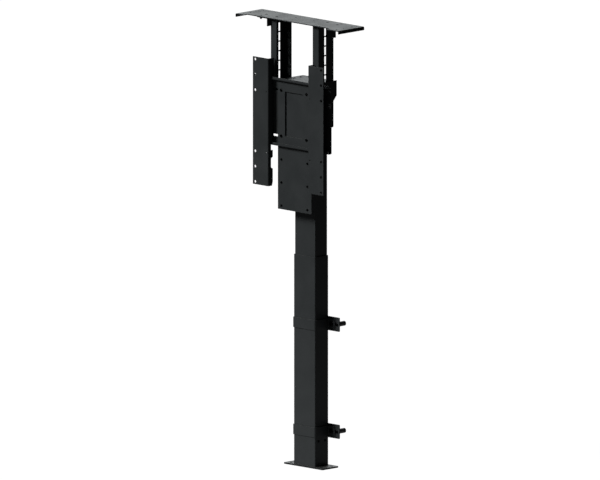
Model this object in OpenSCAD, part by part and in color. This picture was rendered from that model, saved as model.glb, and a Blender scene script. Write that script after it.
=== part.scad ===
// Motor driven television lift: a telescopic column on a floor plate, a head with
// hook rails for two screen arms, and slotted uprights that carry a lid plate.
// X is to the right, Y to the back, Z up, origin on the floor under the column.

/* [Floor plate] */
// Width of the floor plate
base_w = 177; // [160:1:220]
// Depth of the floor plate
base_d = 73; // [66:1:100]
// Thickness of the floor plate
base_t = 5; // [3:0.5:8]
// Corner radius of the floor plate
base_r = 3; // [1:0.5:8]
// Distance between the two columns of floor bolts
base_bolt_x = 140; // [130:1:146]
// Distance between the two rows of floor bolts
base_bolt_y = 44; // [36:1:46]
// Diameter of the floor bolt holes
base_hole_d = 11; // [8:0.5:12]

/* [Columns] */
// Width of the outer column
outer_w = 98; // [96:0.5:104]
// Depth of the outer column
outer_d = 61; // [60:0.5:66]
// Height of the outer column's top above the floor
outer_top = 690; // [670:1:700]
// Wall of both columns
tube_t = 1.5; // [1.2:0.1:2]
// Outer corner radius of the outer column
tube_r = 3.5; // [3:0.25:6]
// Gap between the two columns all round
column_gap = 1.5; // [0.8:0.1:1.8]
// Height of the inner column's lower end above the floor
inner_foot = 320; // [318:1:340]
// Height of the head's top face above the floor
head_top = 1262; // [1255:1:1275]
// Height of a glide strip
glide_h = 30; // [20:1:40]
// Running clearance of the glide strips
glide_clear = 0.15; // [0.1:0.05:0.3]

/* [Drive] */
// Diameter of the motor can
motor_d = 50; // [40:1:52]
// Height of the motor can
motor_h = 52; // [46:1:56]
// Gap between the gearbox and the outer column
gear_gap = 1.5; // [1:0.25:4]
// Height of the gearbox
gear_h = 24; // [20:1:26]
// Height of the block that ties the drive to the outer column
block_h = 12; // [10:1:13]
// Diameter of the spindle
spindle_d = 16; // [14:0.5:18]
// Diameter of the spindle's journal in the bearing
journal_d = 12; // [10:0.5:13]
// Height of the spindle's upper end above the floor
spindle_top = 575; // [560:1:600]
// Outer diameter of the thrust bearing
bearing_d = 34; // [28:1:40]
// Height of the thrust bearing
bearing_h = 6; // [5:0.5:7]
// Diameter of the drive nut's barrel
nut_d = 30; // [26:1:34]
// Height of the block that holds the drive nut
nut_block_h = 26; // [22:1:32]
// Radial clearance of a turning or sliding fit
fit_clear = 0.05; // [0.02:0.01:0.1]

// Height of the cable gland's centre above the floor
gland_z = 40; // [30:1:60]
// Thread diameter of the cable gland
gland_d = 12; // [10:1:14]
// Bore of the cable gland
gland_bore = 6; // [4:0.5:7]
// Height of the cable gland's hexagon
gland_hex_h = 5; // [3:0.5:6]
// Length of the cable gland's nose
gland_nose = 6; // [4:0.5:10]
// Distance of a drive block screw from the middle
block_screw_y = 15; // [10:1:17]
// Distance of a nut block screw from the inner column's side
nut_screw_in = 8; // [7:0.5:9]

/* [Screws] */
// Diameter of the small screws
screw_d = 4; // [3.5:0.5:5.5]
// Diameter of the plate and lid screws
plate_screw_d = 5; // [4.5:0.5:6.5]
// Length of a drive block screw
block_screw_l = 10; // [8:1:14]
// Length of a side plate screw
web_screw_l = 8; // [6:1:12]
// Length of a top plate screw
cap_screw_l = 10; // [8:1:14]
// Length of a head screw
head_screw_l = 14; // [12:1:18]
// Length of a screen plate screw
plate_screw_l = 16; // [13:1:20]
// Length of a lid screw
lid_screw_l = 12; // [9:1:12]
// Length of a spacer screw
spacer_screw_l = 14; // [8:1:18]
// Length of a clamp bolt
clamp_bolt_l = 18; // [14:1:24]
// How far a lock bolt stands out of its nut's seat
lock_out = 9; // [8:1:12]

/* [Wall clamps] */
// Height of the lower clamp's centre above the floor
clamp_low = 118; // [112:1:140]
// Distance between the two clamps
clamp_pitch = 350; // [300:1:380]
// Height of the clamp's strap
clamp_h = 33; // [28:1:40]
// Sheet thickness of the clamp
clamp_t = 3; // [2:0.5:4]
// Half width of the strap over its ears
ear_x = 79; // [76:1:84]
// Half width of the plate behind the column
cross_x = 98; // [96:1:104]
// Height of the plate behind the column
cross_h = 46; // [36:1:50]
// Distance of a clamp bolt from the middle
clamp_bolt_x = 65; // [63:1:67]
// Distance of a wall spacer from the middle
spacer_x = 86; // [85:1:90]
// Diameter of a wall spacer
spacer_d = 16; // [12:0.2:18]
// Length of a wall spacer with its tip
spacer_l = 32; // [24:1:50]
// Bore of a wall spacer
spacer_bore = 6.2; // [5:0.1:7]
// Length of the soft tip on a wall spacer
tip_l = 5; // [3:0.5:8]

/* [Head] */
// Sheet thickness of the head, the arms and the uprights
sheet_t = 2.5; // [2:0.1:3]
// Inner radius of a sheet metal bend
bend_r = 1.2; // [0.6:0.1:2]
// Half width of the head channel
head_x = 77.8; // [76:0.2:79]
// Height of the head channel's lower edge above the floor
head_foot = 840; // [830:1:870]
// Distance from the column's axis to the front of the head channel
head_front = 75.6; // [73:0.2:80]
// Depth of the head channel
head_depth = 65.1; // [58:0.1:68]
// Thickness of the carrier's front plate
carrier_t = 3; // [2.5:0.1:4]
// Half width of the carrier's front plate
carrier_x = 73; // [71:0.5:74]
// Height of the lower edge of the carrier's side plates
web_foot = 895; // [893:1:905]
// Half width of the window in the head
window_x = 41; // [30:1:44]
// Height of the window's lower edge above the floor
window_low = 1081; // [1076:1:1100]
// Height of the window
window_h = 146; // [120:1:150]
// Distance of a head screw from the middle
head_screw_x = 59; // [57:0.5:60]
// Heights of the three rows of head screws
head_screw_z = [852, 928, 1003];
// Distance from the column's axis to the rear edge of the head's top plate
cap_rear = 40; // [29:0.5:44]

// Height of the lowest side plate screws above the side plate's lower edge
web_screw_up = 15; // [12:1:20]
// Distance of the front side plate screws from the column's axis
web_screw_front = 16; // [12:1:18]
// Distance of the rear side plate screws from the column's axis
web_screw_rear = 10; // [6:1:13]
// Distances of the top plate's screws from the column's axis, to the back
cap_screw_y = [-50, -18, 12];

/* [Screen plate] */
// Half width of the screen plate
plate_x = 169; // [165:1:174]
// Height of the lower edge of the screen plate above the floor
plate_low = 1048; // [1046:1:1049]
// Distance of the hook rail's front face from the plate's front face
rail_out = 12.9; // [12:0.1:15]
// Height of the upper hook rail
rail_high_h = 9.5; // [9:0.5:14]
// Height of the lower hook rail
rail_low_h = 10; // [8:0.5:12]
// Distance of a plate screw from the middle
plate_screw_x = 57.5; // [54:0.5:60]
// Distance between the rows of plate screws
plate_screw_pitch = 150; // [148:1:152]
// Diameter of the plate screw holes
plate_hole_d = 6; // [5.6:0.1:8]
// Distance of a slot's centre from the middle
plate_slot_x = 83; // [80:0.5:88]
// Length of a slot in the screen plate
plate_slot_l = 24; // [18:0.5:26]
// Width of a slot in the screen plate
plate_slot_w = 7.5; // [6:0.5:9]
// Distance of the plate's end hole from its end
end_hole_in = 7; // [5:0.5:10]
// Distance of the plate's end hole below the head's top
end_hole_down = 56; // [40:1:80]
// Diameter of the plate's end hole
end_hole_d = 5; // [4:0.5:6]

/* [Screen arms] */
// Distance of an arm's inner edge from the middle
arm_x = 90.3; // [88:0.1:96]
// Width of an arm's front flange
arm_w = 70; // [60:0.5:72]
// Distance from the column's axis to the front of the arms
arm_front = 105; // [104:0.5:108]
// Depth of an arm over its side flange
arm_depth = 21.1; // [20.8:0.1:22]
// Height of an arm's lower end above the floor
arm_low = 914.5; // [905:0.5:918]
// Height of an arm's upper end above the floor
arm_high = 1331.5; // [1329:0.5:1350]
// Half distance between the two columns of screen holes
screen_x = 150; // [149:0.5:152]
// Distance from an arm's lower end to its lowest screen hole
screen_up = 8.7; // [7:0.1:12]
// Distance between neighbouring screen holes
screen_pitch = 50; // [49:0.5:51]
// Diameter of a screen hole
screen_hole_d = 9; // [6:0.5:10]
// Diameter of an arm's tooling hole
tooling_d = 3.5; // [3:0.5:7]
// Distance of an arm's tooling holes from its inner edge
tooling_in = 9; // [7:0.5:12]
// Free height below a rail in an arm's side flange
rail_free = 17; // [14:0.5:20]
// Distance from the lower rail to the upper end of an arm's cable notch
notch_down = 39; // [30:1:50]
// Height of an arm's cable notch
notch_h = 39; // [30:1:50]
// Slope at both ends of an arm's cable notch
notch_slope = 5; // [3:0.5:8]
// How much an arm's side flange narrows at its lower end
arm_taper = 3.5; // [2:0.5:5]
// Play above the lower rail's lip
lower_play = 2.3; // [1:0.1:3]
// Gap between an arm's hook and the screen plate's face
tongue_gap = 0.3; // [0.3:0.1:3]
// Gap between an arm's hook and its rail
hook_clear = 0.3; // [0.2:0.05:0.5]
// Free space in front of and behind a rail's lip
hook_gap = 1; // [0.8:0.05:1.2]

/* [Uprights] */
// Half width over the uprights
upright_x = 110; // [109:0.5:112]
// Width of an upright's flange
flange_w = 27.5; // [25:0.5:29]
// Depth of an upright
upright_d = 69.5; // [66:0.5:70]
// Height of an upright's lower end above the floor
upright_low = 1121; // [1112:1:1124]
// Height of the uprights' top above the floor
upright_top = 1460; // [1452:1:1475]
// Distance between neighbouring slots
slot_pitch = 31.4; // [30.5:0.1:32]
// Length of a slot
slot_l = 27.5; // [25:0.5:28]
// Width of a slot
slot_w = 9; // [8.6:0.1:10]
// Corner radius of a slot
slot_r = 1.5; // [0.5:0.25:4]
// Least distance from a slot to the upright's end
slot_end = 8; // [6:0.5:8.3]
// Distance of the slot row from the middle of the upright's web
slot_off = 4.5; // [3:0.5:6]
// Height of the guide shoes' lower end above the floor
shoe_low = 1150; // [1145:1:1155]
// Distance from a shoe's lower end to the left lower lock bolt
lock_up_left = 24.5; // [20:0.1:25]
// Distance from a shoe's lower end to the right lower lock bolt
lock_up_right = 36.3; // [35:0.1:40]
// Height of a lock plate's tab behind the upright
tab_h = 49; // [40:1:55]
// Height of the slope under a lock plate's tab
tab_slope = 21; // [15:1:25]
// How far a lock plate's tab stands out behind the upright
tab_out = 9.9; // [8:0.1:12]
// How far the right lock plate stands above the head's top
tab_up = 11; // [5:1:15]
// How far the left lock plate ends below the head's top
tab_down = 9; // [4:1:14]
// Distance of a lock plate's lower part from the upright's rear edge
tab_in = 8; // [5:0.5:10]
// Distance from the middle of the upright to a lock plate's front edge
tab_front = 20; // [16:0.5:25]
// Clearance between an upright and what it slides on
slide_clear = 0.15; // [0.1:0.05:0.3]
// Clearance between an upright's front and the screen plate
front_clear = 0.3; // [0.2:0.05:0.6]
// Diameter of a lock bolt
lock_d = 8; // [6:0.5:8]

/* [Lid plate] */
// Half width of the lid plate
lid_x = 234.5; // [225:0.5:245]
// Distance from the column's axis to the lid plate's front edge
lid_front = 109.5; // [106:0.5:116]
// Distance from the column's axis to the front edge between the lid's ends
lid_mid_front = 92.5; // [88:0.5:96]
// Distance from the middle to the lid's left end piece
lid_left_end = 198; // [180:1:205]
// Distance from the middle to the lid's right end piece
lid_right_end = 180; // [175:1:205]
// Distance from the column's axis to the lid plate's rear edge
lid_rear = 7.5; // [4:0.5:16]
// Thickness of the lid plate
lid_t = 3; // [2.5:0.1:4]
// Height of the lid plate's turned down ends
lip_h = 11.5; // [8:0.5:16]
// Distance of the outer lid holes from the middle
lid_hole_x = 211; // [205:1:216]
// Diameter of the outer lid holes
lid_hole_d = 6; // [4:0.5:8]
// Distances of the outer lid holes from the column's axis, to the back
lid_hole_y = [-95, -64, -26, -4];
// Distance of the middle lid holes from the middle
mid_hole_x = 40; // [30:1:50]
// Distances of the middle lid holes from the column's axis, to the back
mid_hole_y = [-28, -8];
// Distances of the left bracket's screws from the column's axis, to the back
left_screw_y = [-80, -56];
// Distances of the right bracket's screws from the column's axis, to the back
right_screw_y = [-28, -9];
// Distance of the left bracket's front edge from the column's axis
left_ear_front = 89; // [86:0.5:91]
// Distance of the left bracket's rear edge from the column's axis
left_ear_rear = 46; // [42:0.5:48]
// Height of the left bracket's ear
left_ear_h = 27; // [26:0.5:40]
// Distance of the right bracket's front edge from the column's axis
right_ear_front = 37; // [34:0.5:39]
// Distance of the right bracket's rear edge behind the column's axis
right_ear_rear = 0.5; // [-2:0.5:4]
// Height of the right bracket's ear
right_ear_h = 47; // [26:0.5:50]
// Distance of a bracket's ear bolt below the lid plate
ear_bolt_down = 17; // [16:0.5:18]
// Distance of the left bracket's ear bolt from the column's axis, to the back
bracket_bolt_left = -60; // [-64:0.5:-56]
// Distance of the right bracket's ear bolt from the column's axis, to the back
bracket_bolt_right = -22; // [-28:0.5:-18]
// Distance of the bracket screws from the middle
bracket_bolt_x = 148; // [142:1:154]
// Distance of the upright screws from the middle
upright_screw_x = 97; // [95:0.5:97.5]

/* [Hidden] */

// round parts are true curves at this setting
$fn = 48;
// extra reach of a cutting shape
cut = 1;
// radial play of a screw in its hole
play = 0.2;

// columns
inner_w = outer_w - 2 * tube_t - 2 * column_gap;
inner_d = outer_d - 2 * tube_t - 2 * column_gap;
inner_r = tube_r - tube_t - 0.5;
cap_low = head_top - sheet_t;
glide_t = column_gap - glide_clear;
glide_x = 60;
glide_y = 30;

// drive, stacked on the floor plate
gear_d = outer_d - 2 * tube_t - 2 * gear_gap;
gland_in = (outer_d - motor_d) / 2 - 1;
gear_low = base_t + motor_h;
block_low = gear_low + gear_h;
bearing_low = block_low + block_h;
spindle_low = bearing_low + bearing_h;
nut_flange_h = 3;
nut_flange_d = nut_d + 12;
drive_steel = [0.55, 0.56, 0.58];
black = [0.09, 0.09, 0.1];
zinc = [0.72, 0.73, 0.75];
plastic = [0.14, 0.14, 0.15];

// clamps
clamp_high = clamp_low + clamp_pitch;
strap_rear = outer_d / 2;
clamp_screw_d = 8;
spacer_screw_d = 6;

// head, from the front to the back
channel_back = head_front - sheet_t;
carrier_back = channel_back - carrier_t;
web_front = carrier_back;
plate_front = head_front + sheet_t;
rail_front = plate_front + rail_out;
lip_back = rail_front - sheet_t;
rail_high_low = head_top;
rail_high_top = head_top + rail_high_h;
rail_low_top = plate_low + rail_low_h;
web_x = inner_w / 2;
web_out = 24;
web_rear = 20;

// uprights
upright_front = head_front - front_clear;
upright_rear = upright_front - upright_d;
upright_mid = (upright_front + upright_rear) / 2;
upright_len = upright_top - upright_low;
shoe_high = cap_low - 2;
shoe_x = upright_x - sheet_t - bend_r - slide_clear;
row_left = -upright_mid + slot_off;
row_right = -upright_mid - slot_off;
lock_left = [for (k = [0, 2]) shoe_low + lock_up_left + k * slot_pitch];
lock_right = [for (k = [0, 2]) shoe_low + lock_up_right + k * slot_pitch];
slots_each_way = ceil(upright_len / slot_pitch);
bracket_z = upright_top - ear_bolt_down;
sink_h = min(0.45 * plate_screw_d, lid_t - play);
// room for an upright's bend beside an angle
upright_bend = sheet_t + bend_r + 0.3;
// how far an angle's flange stands out of its upright
angle_out = 0.5;
// screws that hold the lid plate, as [x, y]
lid_screw_at = concat([for (y = left_screw_y) [-bracket_bolt_x, y]],
    [for (y = right_screw_y) [bracket_bolt_x, y]],
    [[-upright_screw_x, bracket_bolt_left], [upright_screw_x, bracket_bolt_right]]);

function plate_screw_z(k) = window_low - cut + k * plate_screw_pitch;

// a rectangle with round corners, about its middle
module rounded(w, d, r) {
    square([w - 2 * r, d], center = true);
    square([w, d - 2 * r], center = true);
    for (sx = [-1, 1], sy = [-1, 1])
        translate([sx * (w / 2 - r), sy * (d / 2 - r)])
            circle(r);
}

// a slot with round ends, l long and w wide
module slot(l, w) {
    square([l - w, w], center = true);
    for (s = [-1, 1])
        translate([s * (l - w) / 2, 0])
            circle(d = w);
}

// a quarter ring, the section of a sheet metal bend
module elbow(t, r) {
    intersection() {
        difference() {
            circle(r + t);
            circle(r);
        }
        square(r + t);
    }
}

// an L section: legs a along X and b along Y from the outer corner
module angle_section(a, b, t, r) {
    translate([r + t, r + t])
        rotate(180)
            elbow(t, r);
    translate([r + t, 0])
        square([a - r - t, t]);
    translate([0, r + t])
        square([t, b - r - t]);
}

// a U section open towards +Y: base of width w along X, legs of length h
module u_section(w, h, t, r) {
    for (s = [0, 1])
        mirror([s, 0])
            translate([-w / 2, 0])
                angle_section(w / 2, h, t, r);
}

// stands a drawing in the YZ plane and gives it a thickness along X
module along_x(t) {
    rotate([90, 0, 90])
        linear_extrude(t)
            children();
}

// a round hole or pin along X through x from x0 to x1
module pin_x(x0, x1, y, z, d) {
    translate([x0, y, z])
        rotate([0, 90, 0])
            cylinder(h = x1 - x0, d = d);
}

// a round hole or pin along Y from y0 to y1
module pin_y(x, y0, y1, z, d) {
    translate([x, y1, z])
        rotate([90, 0, 0])
            cylinder(h = y1 - y0, d = d);
}

// a hexagon head screw that points down, its seat at the origin
module hex_bolt(d, l) {
    translate([0, 0, -l])
        cylinder(h = l, d = d);
    cylinder(h = 0.6 * d, d = 1.85 * d, $fn = 6);
}

// a pan head screw that points down, its seat at the origin, with a socket
module pan_screw(d, l) {
    translate([0, 0, -l])
        cylinder(h = l, d = d);
    difference() {
        intersection() {
            cylinder(h = 0.5 * d, d = 1.9 * d);
            translate([0, 0, -1.1 * d])
                sphere(r = 1.6 * d);
        }
        translate([0, 0, 0.25 * d])
            cylinder(h = d, d = 0.6 * d, $fn = 6);
    }
}

// the cone of a flush screw's head, its wide face at the origin
module head_cone(d, h, extra = 0, over = 0) {
    translate([0, 0, -h])
        cylinder(h = h + over, d1 = d + extra, d2 = d + 2 * (h + over) + extra);
}

// a flush screw whose head's top is at the origin
module flush_screw(d, l, h) {
    difference() {
        union() {
            translate([0, 0, -l])
                cylinder(h = l, d = d);
            head_cone(d, h);
        }
        translate([0, 0, -0.3 * d])
            cylinder(h = d, d = 0.6 * d, $fn = 6);
    }
}

// a hexagon nut on a screw of diameter d, its seat at the origin
module nut(d) {
    difference() {
        cylinder(h = 0.8 * d, d = 1.85 * d, $fn = 6);
        translate([0, 0, -cut])
            cylinder(h = d + 2 * cut, d = d + 2 * play);
    }
}

// the four floor bolt positions, and the like of them
module at_corners(w, d) {
    for (sx = [-1, 1], sy = [-1, 1])
        translate([sx * w / 2, sy * d / 2])
            children();
}

module base_plate() {
    color(black)
        linear_extrude(base_t)
            difference() {
                rounded(base_w, base_d, base_r);
                at_corners(base_bolt_x, base_bolt_y)
                    circle(d = base_hole_d);
            }
}

module outer_column() {
    color(black)
        difference() {
            translate([0, 0, base_t])
                linear_extrude(outer_top - base_t)
                    difference() {
                        rounded(outer_w, outer_d, tube_r);
                        rounded(outer_w - 2 * tube_t, outer_d - 2 * tube_t, tube_r - tube_t);
                    }
            for (y = [-block_screw_y, block_screw_y])
                pin_x(-outer_w, outer_w, y, block_low + block_h / 2, screw_d + 2 * play);
            pin_y(0, outer_d / 2 - 2 * tube_t, outer_d / 2 + cut, gland_z, gland_d + 2 * play);
        }
}

// two pairs of glide strips on a tube of size w by d, outside or inside its faces
module glide_strips(w, d, t) {
    for (s = [-1, 1]) {
        translate([s * (w + t) / 2, 0])
            square([t, glide_y], center = true);
        translate([0, s * (d + t) / 2])
            square([glide_x, t], center = true);
    }
}

module outer_glides() {
    color(plastic)
        translate([0, 0, outer_top - glide_h - 2])
            linear_extrude(glide_h)
                glide_strips(inner_w + 2 * glide_clear, inner_d + 2 * glide_clear, glide_t);
}

module inner_glides() {
    color(plastic)
        translate([0, 0, inner_foot + 2])
            linear_extrude(glide_h)
                glide_strips(inner_w, inner_d, glide_t);
}

module motor() {
    color(drive_steel) {
        translate([0, 0, base_t])
            cylinder(h = motor_h - 3, d = motor_d);
        translate([0, 0, base_t + motor_h - 3])
            cylinder(h = 3, d = motor_d - 6);
    }
}

module gearbox() {
    color(zinc)
        translate([0, 0, gear_low])
            difference() {
                cylinder(h = gear_h, d = gear_d);
                for (z = [gear_h / 3, 2 * gear_h / 3])
                    translate([0, 0, z - 1])
                        difference() {
                            cylinder(h = 2, d = gear_d + cut);
                            translate([0, 0, -cut])
                                cylinder(h = 2 + 2 * cut, d = gear_d - 2);
                        }
            }
}

module drive_block() {
    block_w = outer_w - 2 * tube_t;
    block_d = outer_d - 2 * tube_t;
    color(zinc)
        difference() {
            translate([0, 0, block_low])
                linear_extrude(block_h)
                    rounded(block_w, block_d, tube_r - tube_t);
            translate([0, 0, block_low - cut])
                cylinder(h = block_h + 2 * cut, d = journal_d + 1);
            for (s = [-1, 1], y = [-block_screw_y, block_screw_y])
                pin_x(s * block_w / 2 - block_screw_l - cut, s * block_w / 2 + block_screw_l + cut,
                    y, block_low + block_h / 2, screw_d + 2 * play);
        }
}

module block_screws() {
    color(zinc)
        for (s = [-1, 1], y = [-block_screw_y, block_screw_y])
            translate([s * outer_w / 2, y, block_low + block_h / 2])
                rotate([0, s * 90, 0])
                    pan_screw(screw_d, block_screw_l);
}

module thrust_bearing() {
    color(drive_steel)
        translate([0, 0, bearing_low])
            difference() {
                cylinder(h = bearing_h, d = bearing_d);
                translate([0, 0, -cut])
                    cylinder(h = bearing_h + 2 * cut, d = journal_d + 2 * fit_clear);
            }
}

module cable_gland() {
    color(plastic)
        translate([0, outer_d / 2, gland_z])
            rotate([-90, 0, 0])
                difference() {
                    union() {
                        translate([0, 0, -gland_in])
                            cylinder(h = gland_in + gland_hex_h, d = gland_d);
                        cylinder(h = gland_hex_h, d = gland_d + 8, $fn = 6);
                        translate([0, 0, gland_hex_h])
                            cylinder(h = gland_nose, d1 = gland_d + 4, d2 = gland_d - 1);
                    }
                    translate([0, 0, -outer_d])
                        cylinder(h = 2 * outer_d, d = gland_bore);
                }
}

// the strap round the front of the outer column, with an ear on each side
module strap_section() {
    difference() {
        rounded(outer_w + 2 * clamp_t, outer_d + 2 * clamp_t, tube_r + clamp_t);
        rounded(outer_w, outer_d, tube_r);
        translate([-outer_w, strap_rear - clamp_t - bend_r])
            square([2 * outer_w, outer_d]);
    }
    for (s = [-1, 1])
        mirror([(1 - s) / 2, 0])
            translate([outer_w / 2, strap_rear])
                mirror([0, 1])
                    angle_section(ear_x - outer_w / 2, clamp_t + bend_r + 1, clamp_t, bend_r);
}

module strap(z) {
    color(black)
        difference() {
            translate([0, 0, z - clamp_h / 2])
                linear_extrude(clamp_h)
                    strap_section();
            for (s = [-1, 1])
                pin_y(s * clamp_bolt_x, strap_rear - 2 * clamp_t, strap_rear + cut, z,
                    clamp_screw_d + 2 * play);
        }
}

module upper_strap() {
    strap(clamp_high);
}

module lower_strap() {
    strap(clamp_low);
}

module cross_plate(z) {
    color(black)
        translate([0, strap_rear + clamp_t, z])
            rotate([90, 0, 0])
                linear_extrude(clamp_t)
                    difference() {
                        rounded(2 * cross_x, cross_h, 3);
                        for (s = [-1, 1]) {
                            translate([s * clamp_bolt_x, 0])
                                circle(d = clamp_screw_d + 2 * play);
                            translate([s * spacer_x, 0])
                                circle(d = spacer_screw_d + 2 * play);
                        }
                    }
}

module upper_cross_plate() {
    cross_plate(clamp_high);
}

module lower_cross_plate() {
    cross_plate(clamp_low);
}

// turns a screw that points down so that it points to the back from the plane y
module facing_front(x, y, z) {
    translate([x, y, z])
        rotate([90, 0, 0])
            children();
}

module clamp_bolts() {
    color(zinc)
        for (s = [-1, 1], z = [clamp_low, clamp_high])
            facing_front(s * clamp_bolt_x, strap_rear - clamp_t, z)
                hex_bolt(clamp_screw_d, clamp_bolt_l);
}

module clamp_nuts() {
    color(zinc)
        for (s = [-1, 1], z = [clamp_low, clamp_high])
            translate([s * clamp_bolt_x, strap_rear + clamp_t, z])
                rotate([-90, 0, 0])
                    nut(clamp_screw_d);
}

module spacers(y0, y1, d) {
    for (s = [-1, 1], z = [clamp_low, clamp_high])
        difference() {
            pin_y(s * spacer_x, y0, y1, z, d);
            pin_y(s * spacer_x, y0 - cut, y1 + cut, z, spacer_bore);
        }
}

spacer_low = strap_rear + clamp_t;
spacer_high = spacer_low + spacer_l;

module wall_spacers() {
    color(zinc)
        spacers(spacer_low, spacer_high - tip_l, spacer_d);
}

module spacer_tips() {
    color(plastic)
        spacers(spacer_high - tip_l, spacer_high, spacer_d);
}

module spacer_screws() {
    color(zinc)
        for (s = [-1, 1], z = [clamp_low, clamp_high])
            facing_front(s * spacer_x, strap_rear, z)
                pan_screw(spacer_screw_d - play, spacer_screw_l);
}

module spindle() {
    color(drive_steel) {
        translate([0, 0, block_low + play])
            cylinder(h = spindle_low - block_low, d = journal_d);
        translate([0, 0, spindle_low + play])
            cylinder(h = spindle_top - spindle_low - play, d = spindle_d);
    }
}

module spindle_stop() {
    color(zinc)
        translate([0, 0, spindle_top]) {
            cylinder(h = 4, d = spindle_d + 8);
            translate([0, 0, 4])
                cylinder(h = 4, d = 11, $fn = 6);
        }
}

nut_screw_z = inner_foot + nut_block_h / 2;
nut_screw_x = inner_w / 2 - nut_screw_in;
nut_screw_d = 4;

module inner_column() {
    color(black)
        difference() {
            translate([0, 0, inner_foot])
                linear_extrude(cap_low - inner_foot)
                    difference() {
                        rounded(inner_w, inner_d, inner_r);
                        rounded(inner_w - 2 * tube_t, inner_d - 2 * tube_t, inner_r - 1);
                    }
            for (x = [-nut_screw_x, nut_screw_x])
                pin_y(x, -outer_d, outer_d, nut_screw_z, nut_screw_d + 2 * play);
            for (p = web_screw_at)
                pin_x(-outer_w, outer_w, p[0], p[1], screw_d + 2 * play);
        }
}

module nut_block() {
    color(plastic)
        translate([0, 0, inner_foot])
            difference() {
                linear_extrude(nut_block_h)
                    difference() {
                        rounded(inner_w - 2 * tube_t, inner_d - 2 * tube_t, inner_r - 1);
                        circle(d = nut_d + 2 * play);
                    }
                for (x = [-nut_screw_x, nut_screw_x])
                    pin_y(x, -outer_d, outer_d, nut_block_h / 2, nut_screw_d + 2 * play);
            }
}

module nut_block_screws() {
    color(zinc)
        for (s = [-1, 1], x = [-nut_screw_x, nut_screw_x])
            translate([x, s * inner_d / 2, nut_screw_z])
                rotate([s * -90, 0, 0]) {
                    translate([0, 0, -2 * nut_screw_d])
                        cylinder(h = 2 * nut_screw_d, d = nut_screw_d);
                    cylinder(h = glide_t - glide_clear, d = 1.8 * nut_screw_d);
                }
}

module drive_nut() {
    color([0.78, 0.62, 0.3])
        translate([0, 0, inner_foot - nut_flange_h])
            difference() {
                union() {
                    cylinder(h = nut_flange_h, d = nut_flange_d);
                    cylinder(h = nut_flange_h + nut_block_h + 2, d = nut_d);
                }
                translate([0, 0, -cut])
                    cylinder(h = nut_block_h + 3 * nut_flange_h, d = spindle_d + 2 * fit_clear);
            }
}

carrier_high = 1240;

module carrier_plate() {
    color(black)
        translate([0, -carrier_back, 0])
            rotate([90, 0, 0])
                linear_extrude(carrier_t)
                    difference() {
                        translate([0, (head_foot + carrier_high) / 2 + 2])
                            rounded(2 * carrier_x, carrier_high - head_foot - 4, 3);
                        for (s = [-1, 1], z = head_screw_z)
                            translate([s * head_screw_x, z])
                                circle(d = screw_d + 2 * play);
                        for (s = [-1, 1], k = [0, 1])
                            translate([s * plate_screw_x, plate_screw_z(k)])
                                circle(d = plate_hole_d);
                    }
}

// screws that hold the side plates to the inner column, as [y, z]
web_screw_at = [for (z = [web_foot + web_screw_up, web_foot + 7 * web_screw_up,
    head_top - 2.8 * web_screw_up], y = [-web_screw_front, web_screw_rear]) [y, z]];

// a side plate of the carrier: bent flanges at the front and on top
module web() {
    difference() {
        union() {
            intersection() {
                translate([web_x, -web_front, web_foot - 20])
                    linear_extrude(cap_low - web_foot + 20)
                        angle_section(web_out, web_front + web_rear, sheet_t, bend_r);
                translate([0, 0, 0])
                    along_x(2 * web_x)
                        polygon([[-web_front - 1, web_foot - 20], [-web_front + 30, web_foot - 20],
                            [-outer_d / 2 - 4, web_foot], [web_rear, web_foot],
                            [web_rear, cap_low - bend_r - sheet_t],
                            [-web_front - 1, cap_low - bend_r - sheet_t]]);
            }
            translate([0, web_rear, cap_low])
                rotate([90, 0, 0])
                    linear_extrude(web_front + web_rear - 8)
                        translate([web_x, 0])
                            mirror([0, 1])
                                angle_section(web_out, bend_r + 2 * sheet_t, sheet_t, bend_r);
        }
        for (p = web_screw_at)
            pin_x(0, 2 * web_x, p[0], p[1], screw_d + 2 * play);
        for (z = head_screw_z)
            pin_y(head_screw_x, -web_front - cut, -web_front + 2 * sheet_t, z, screw_d + 2 * play);
        for (k = [0, 1])
            pin_y(plate_screw_x, -web_front - cut, -web_front + 2 * sheet_t, plate_screw_z(k),
                plate_hole_d);
        for (y = cap_screw_y)
            translate([head_screw_x, y, cap_low - 2 * sheet_t])
                cylinder(h = 3 * sheet_t, d = screw_d + 2 * play);
    }
}

module right_web() {
    color(black)
        web();
}

module left_web() {
    color(black)
        mirror([1, 0, 0])
            web();
}

module web_screws() {
    color(zinc)
        for (s = [-1, 1], p = web_screw_at)
            translate([s * (web_x + sheet_t), p[0], p[1]])
                rotate([0, s * 90, 0])
                    pan_screw(screw_d, web_screw_l);
}

module head_cap() {
    color(black)
        translate([0, 0, cap_low])
            linear_extrude(sheet_t)
                difference() {
                    translate([0, (cap_rear - head_front) / 2])
                        rounded(2 * head_x, cap_rear + head_front, 3);
                    for (s = [-1, 1], y = cap_screw_y)
                        translate([s * head_screw_x, y])
                            circle(d = screw_d + 2 * play);
                }
}

module cap_screws() {
    color(zinc)
        for (s = [-1, 1], y = cap_screw_y)
            translate([s * head_screw_x, y, head_top])
                pan_screw(screw_d, cap_screw_l);
}

// the window in the head, as a drawing seen from the front
module window() {
    translate([-window_x, window_low])
        square([2 * window_x, window_h]);
}

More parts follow.
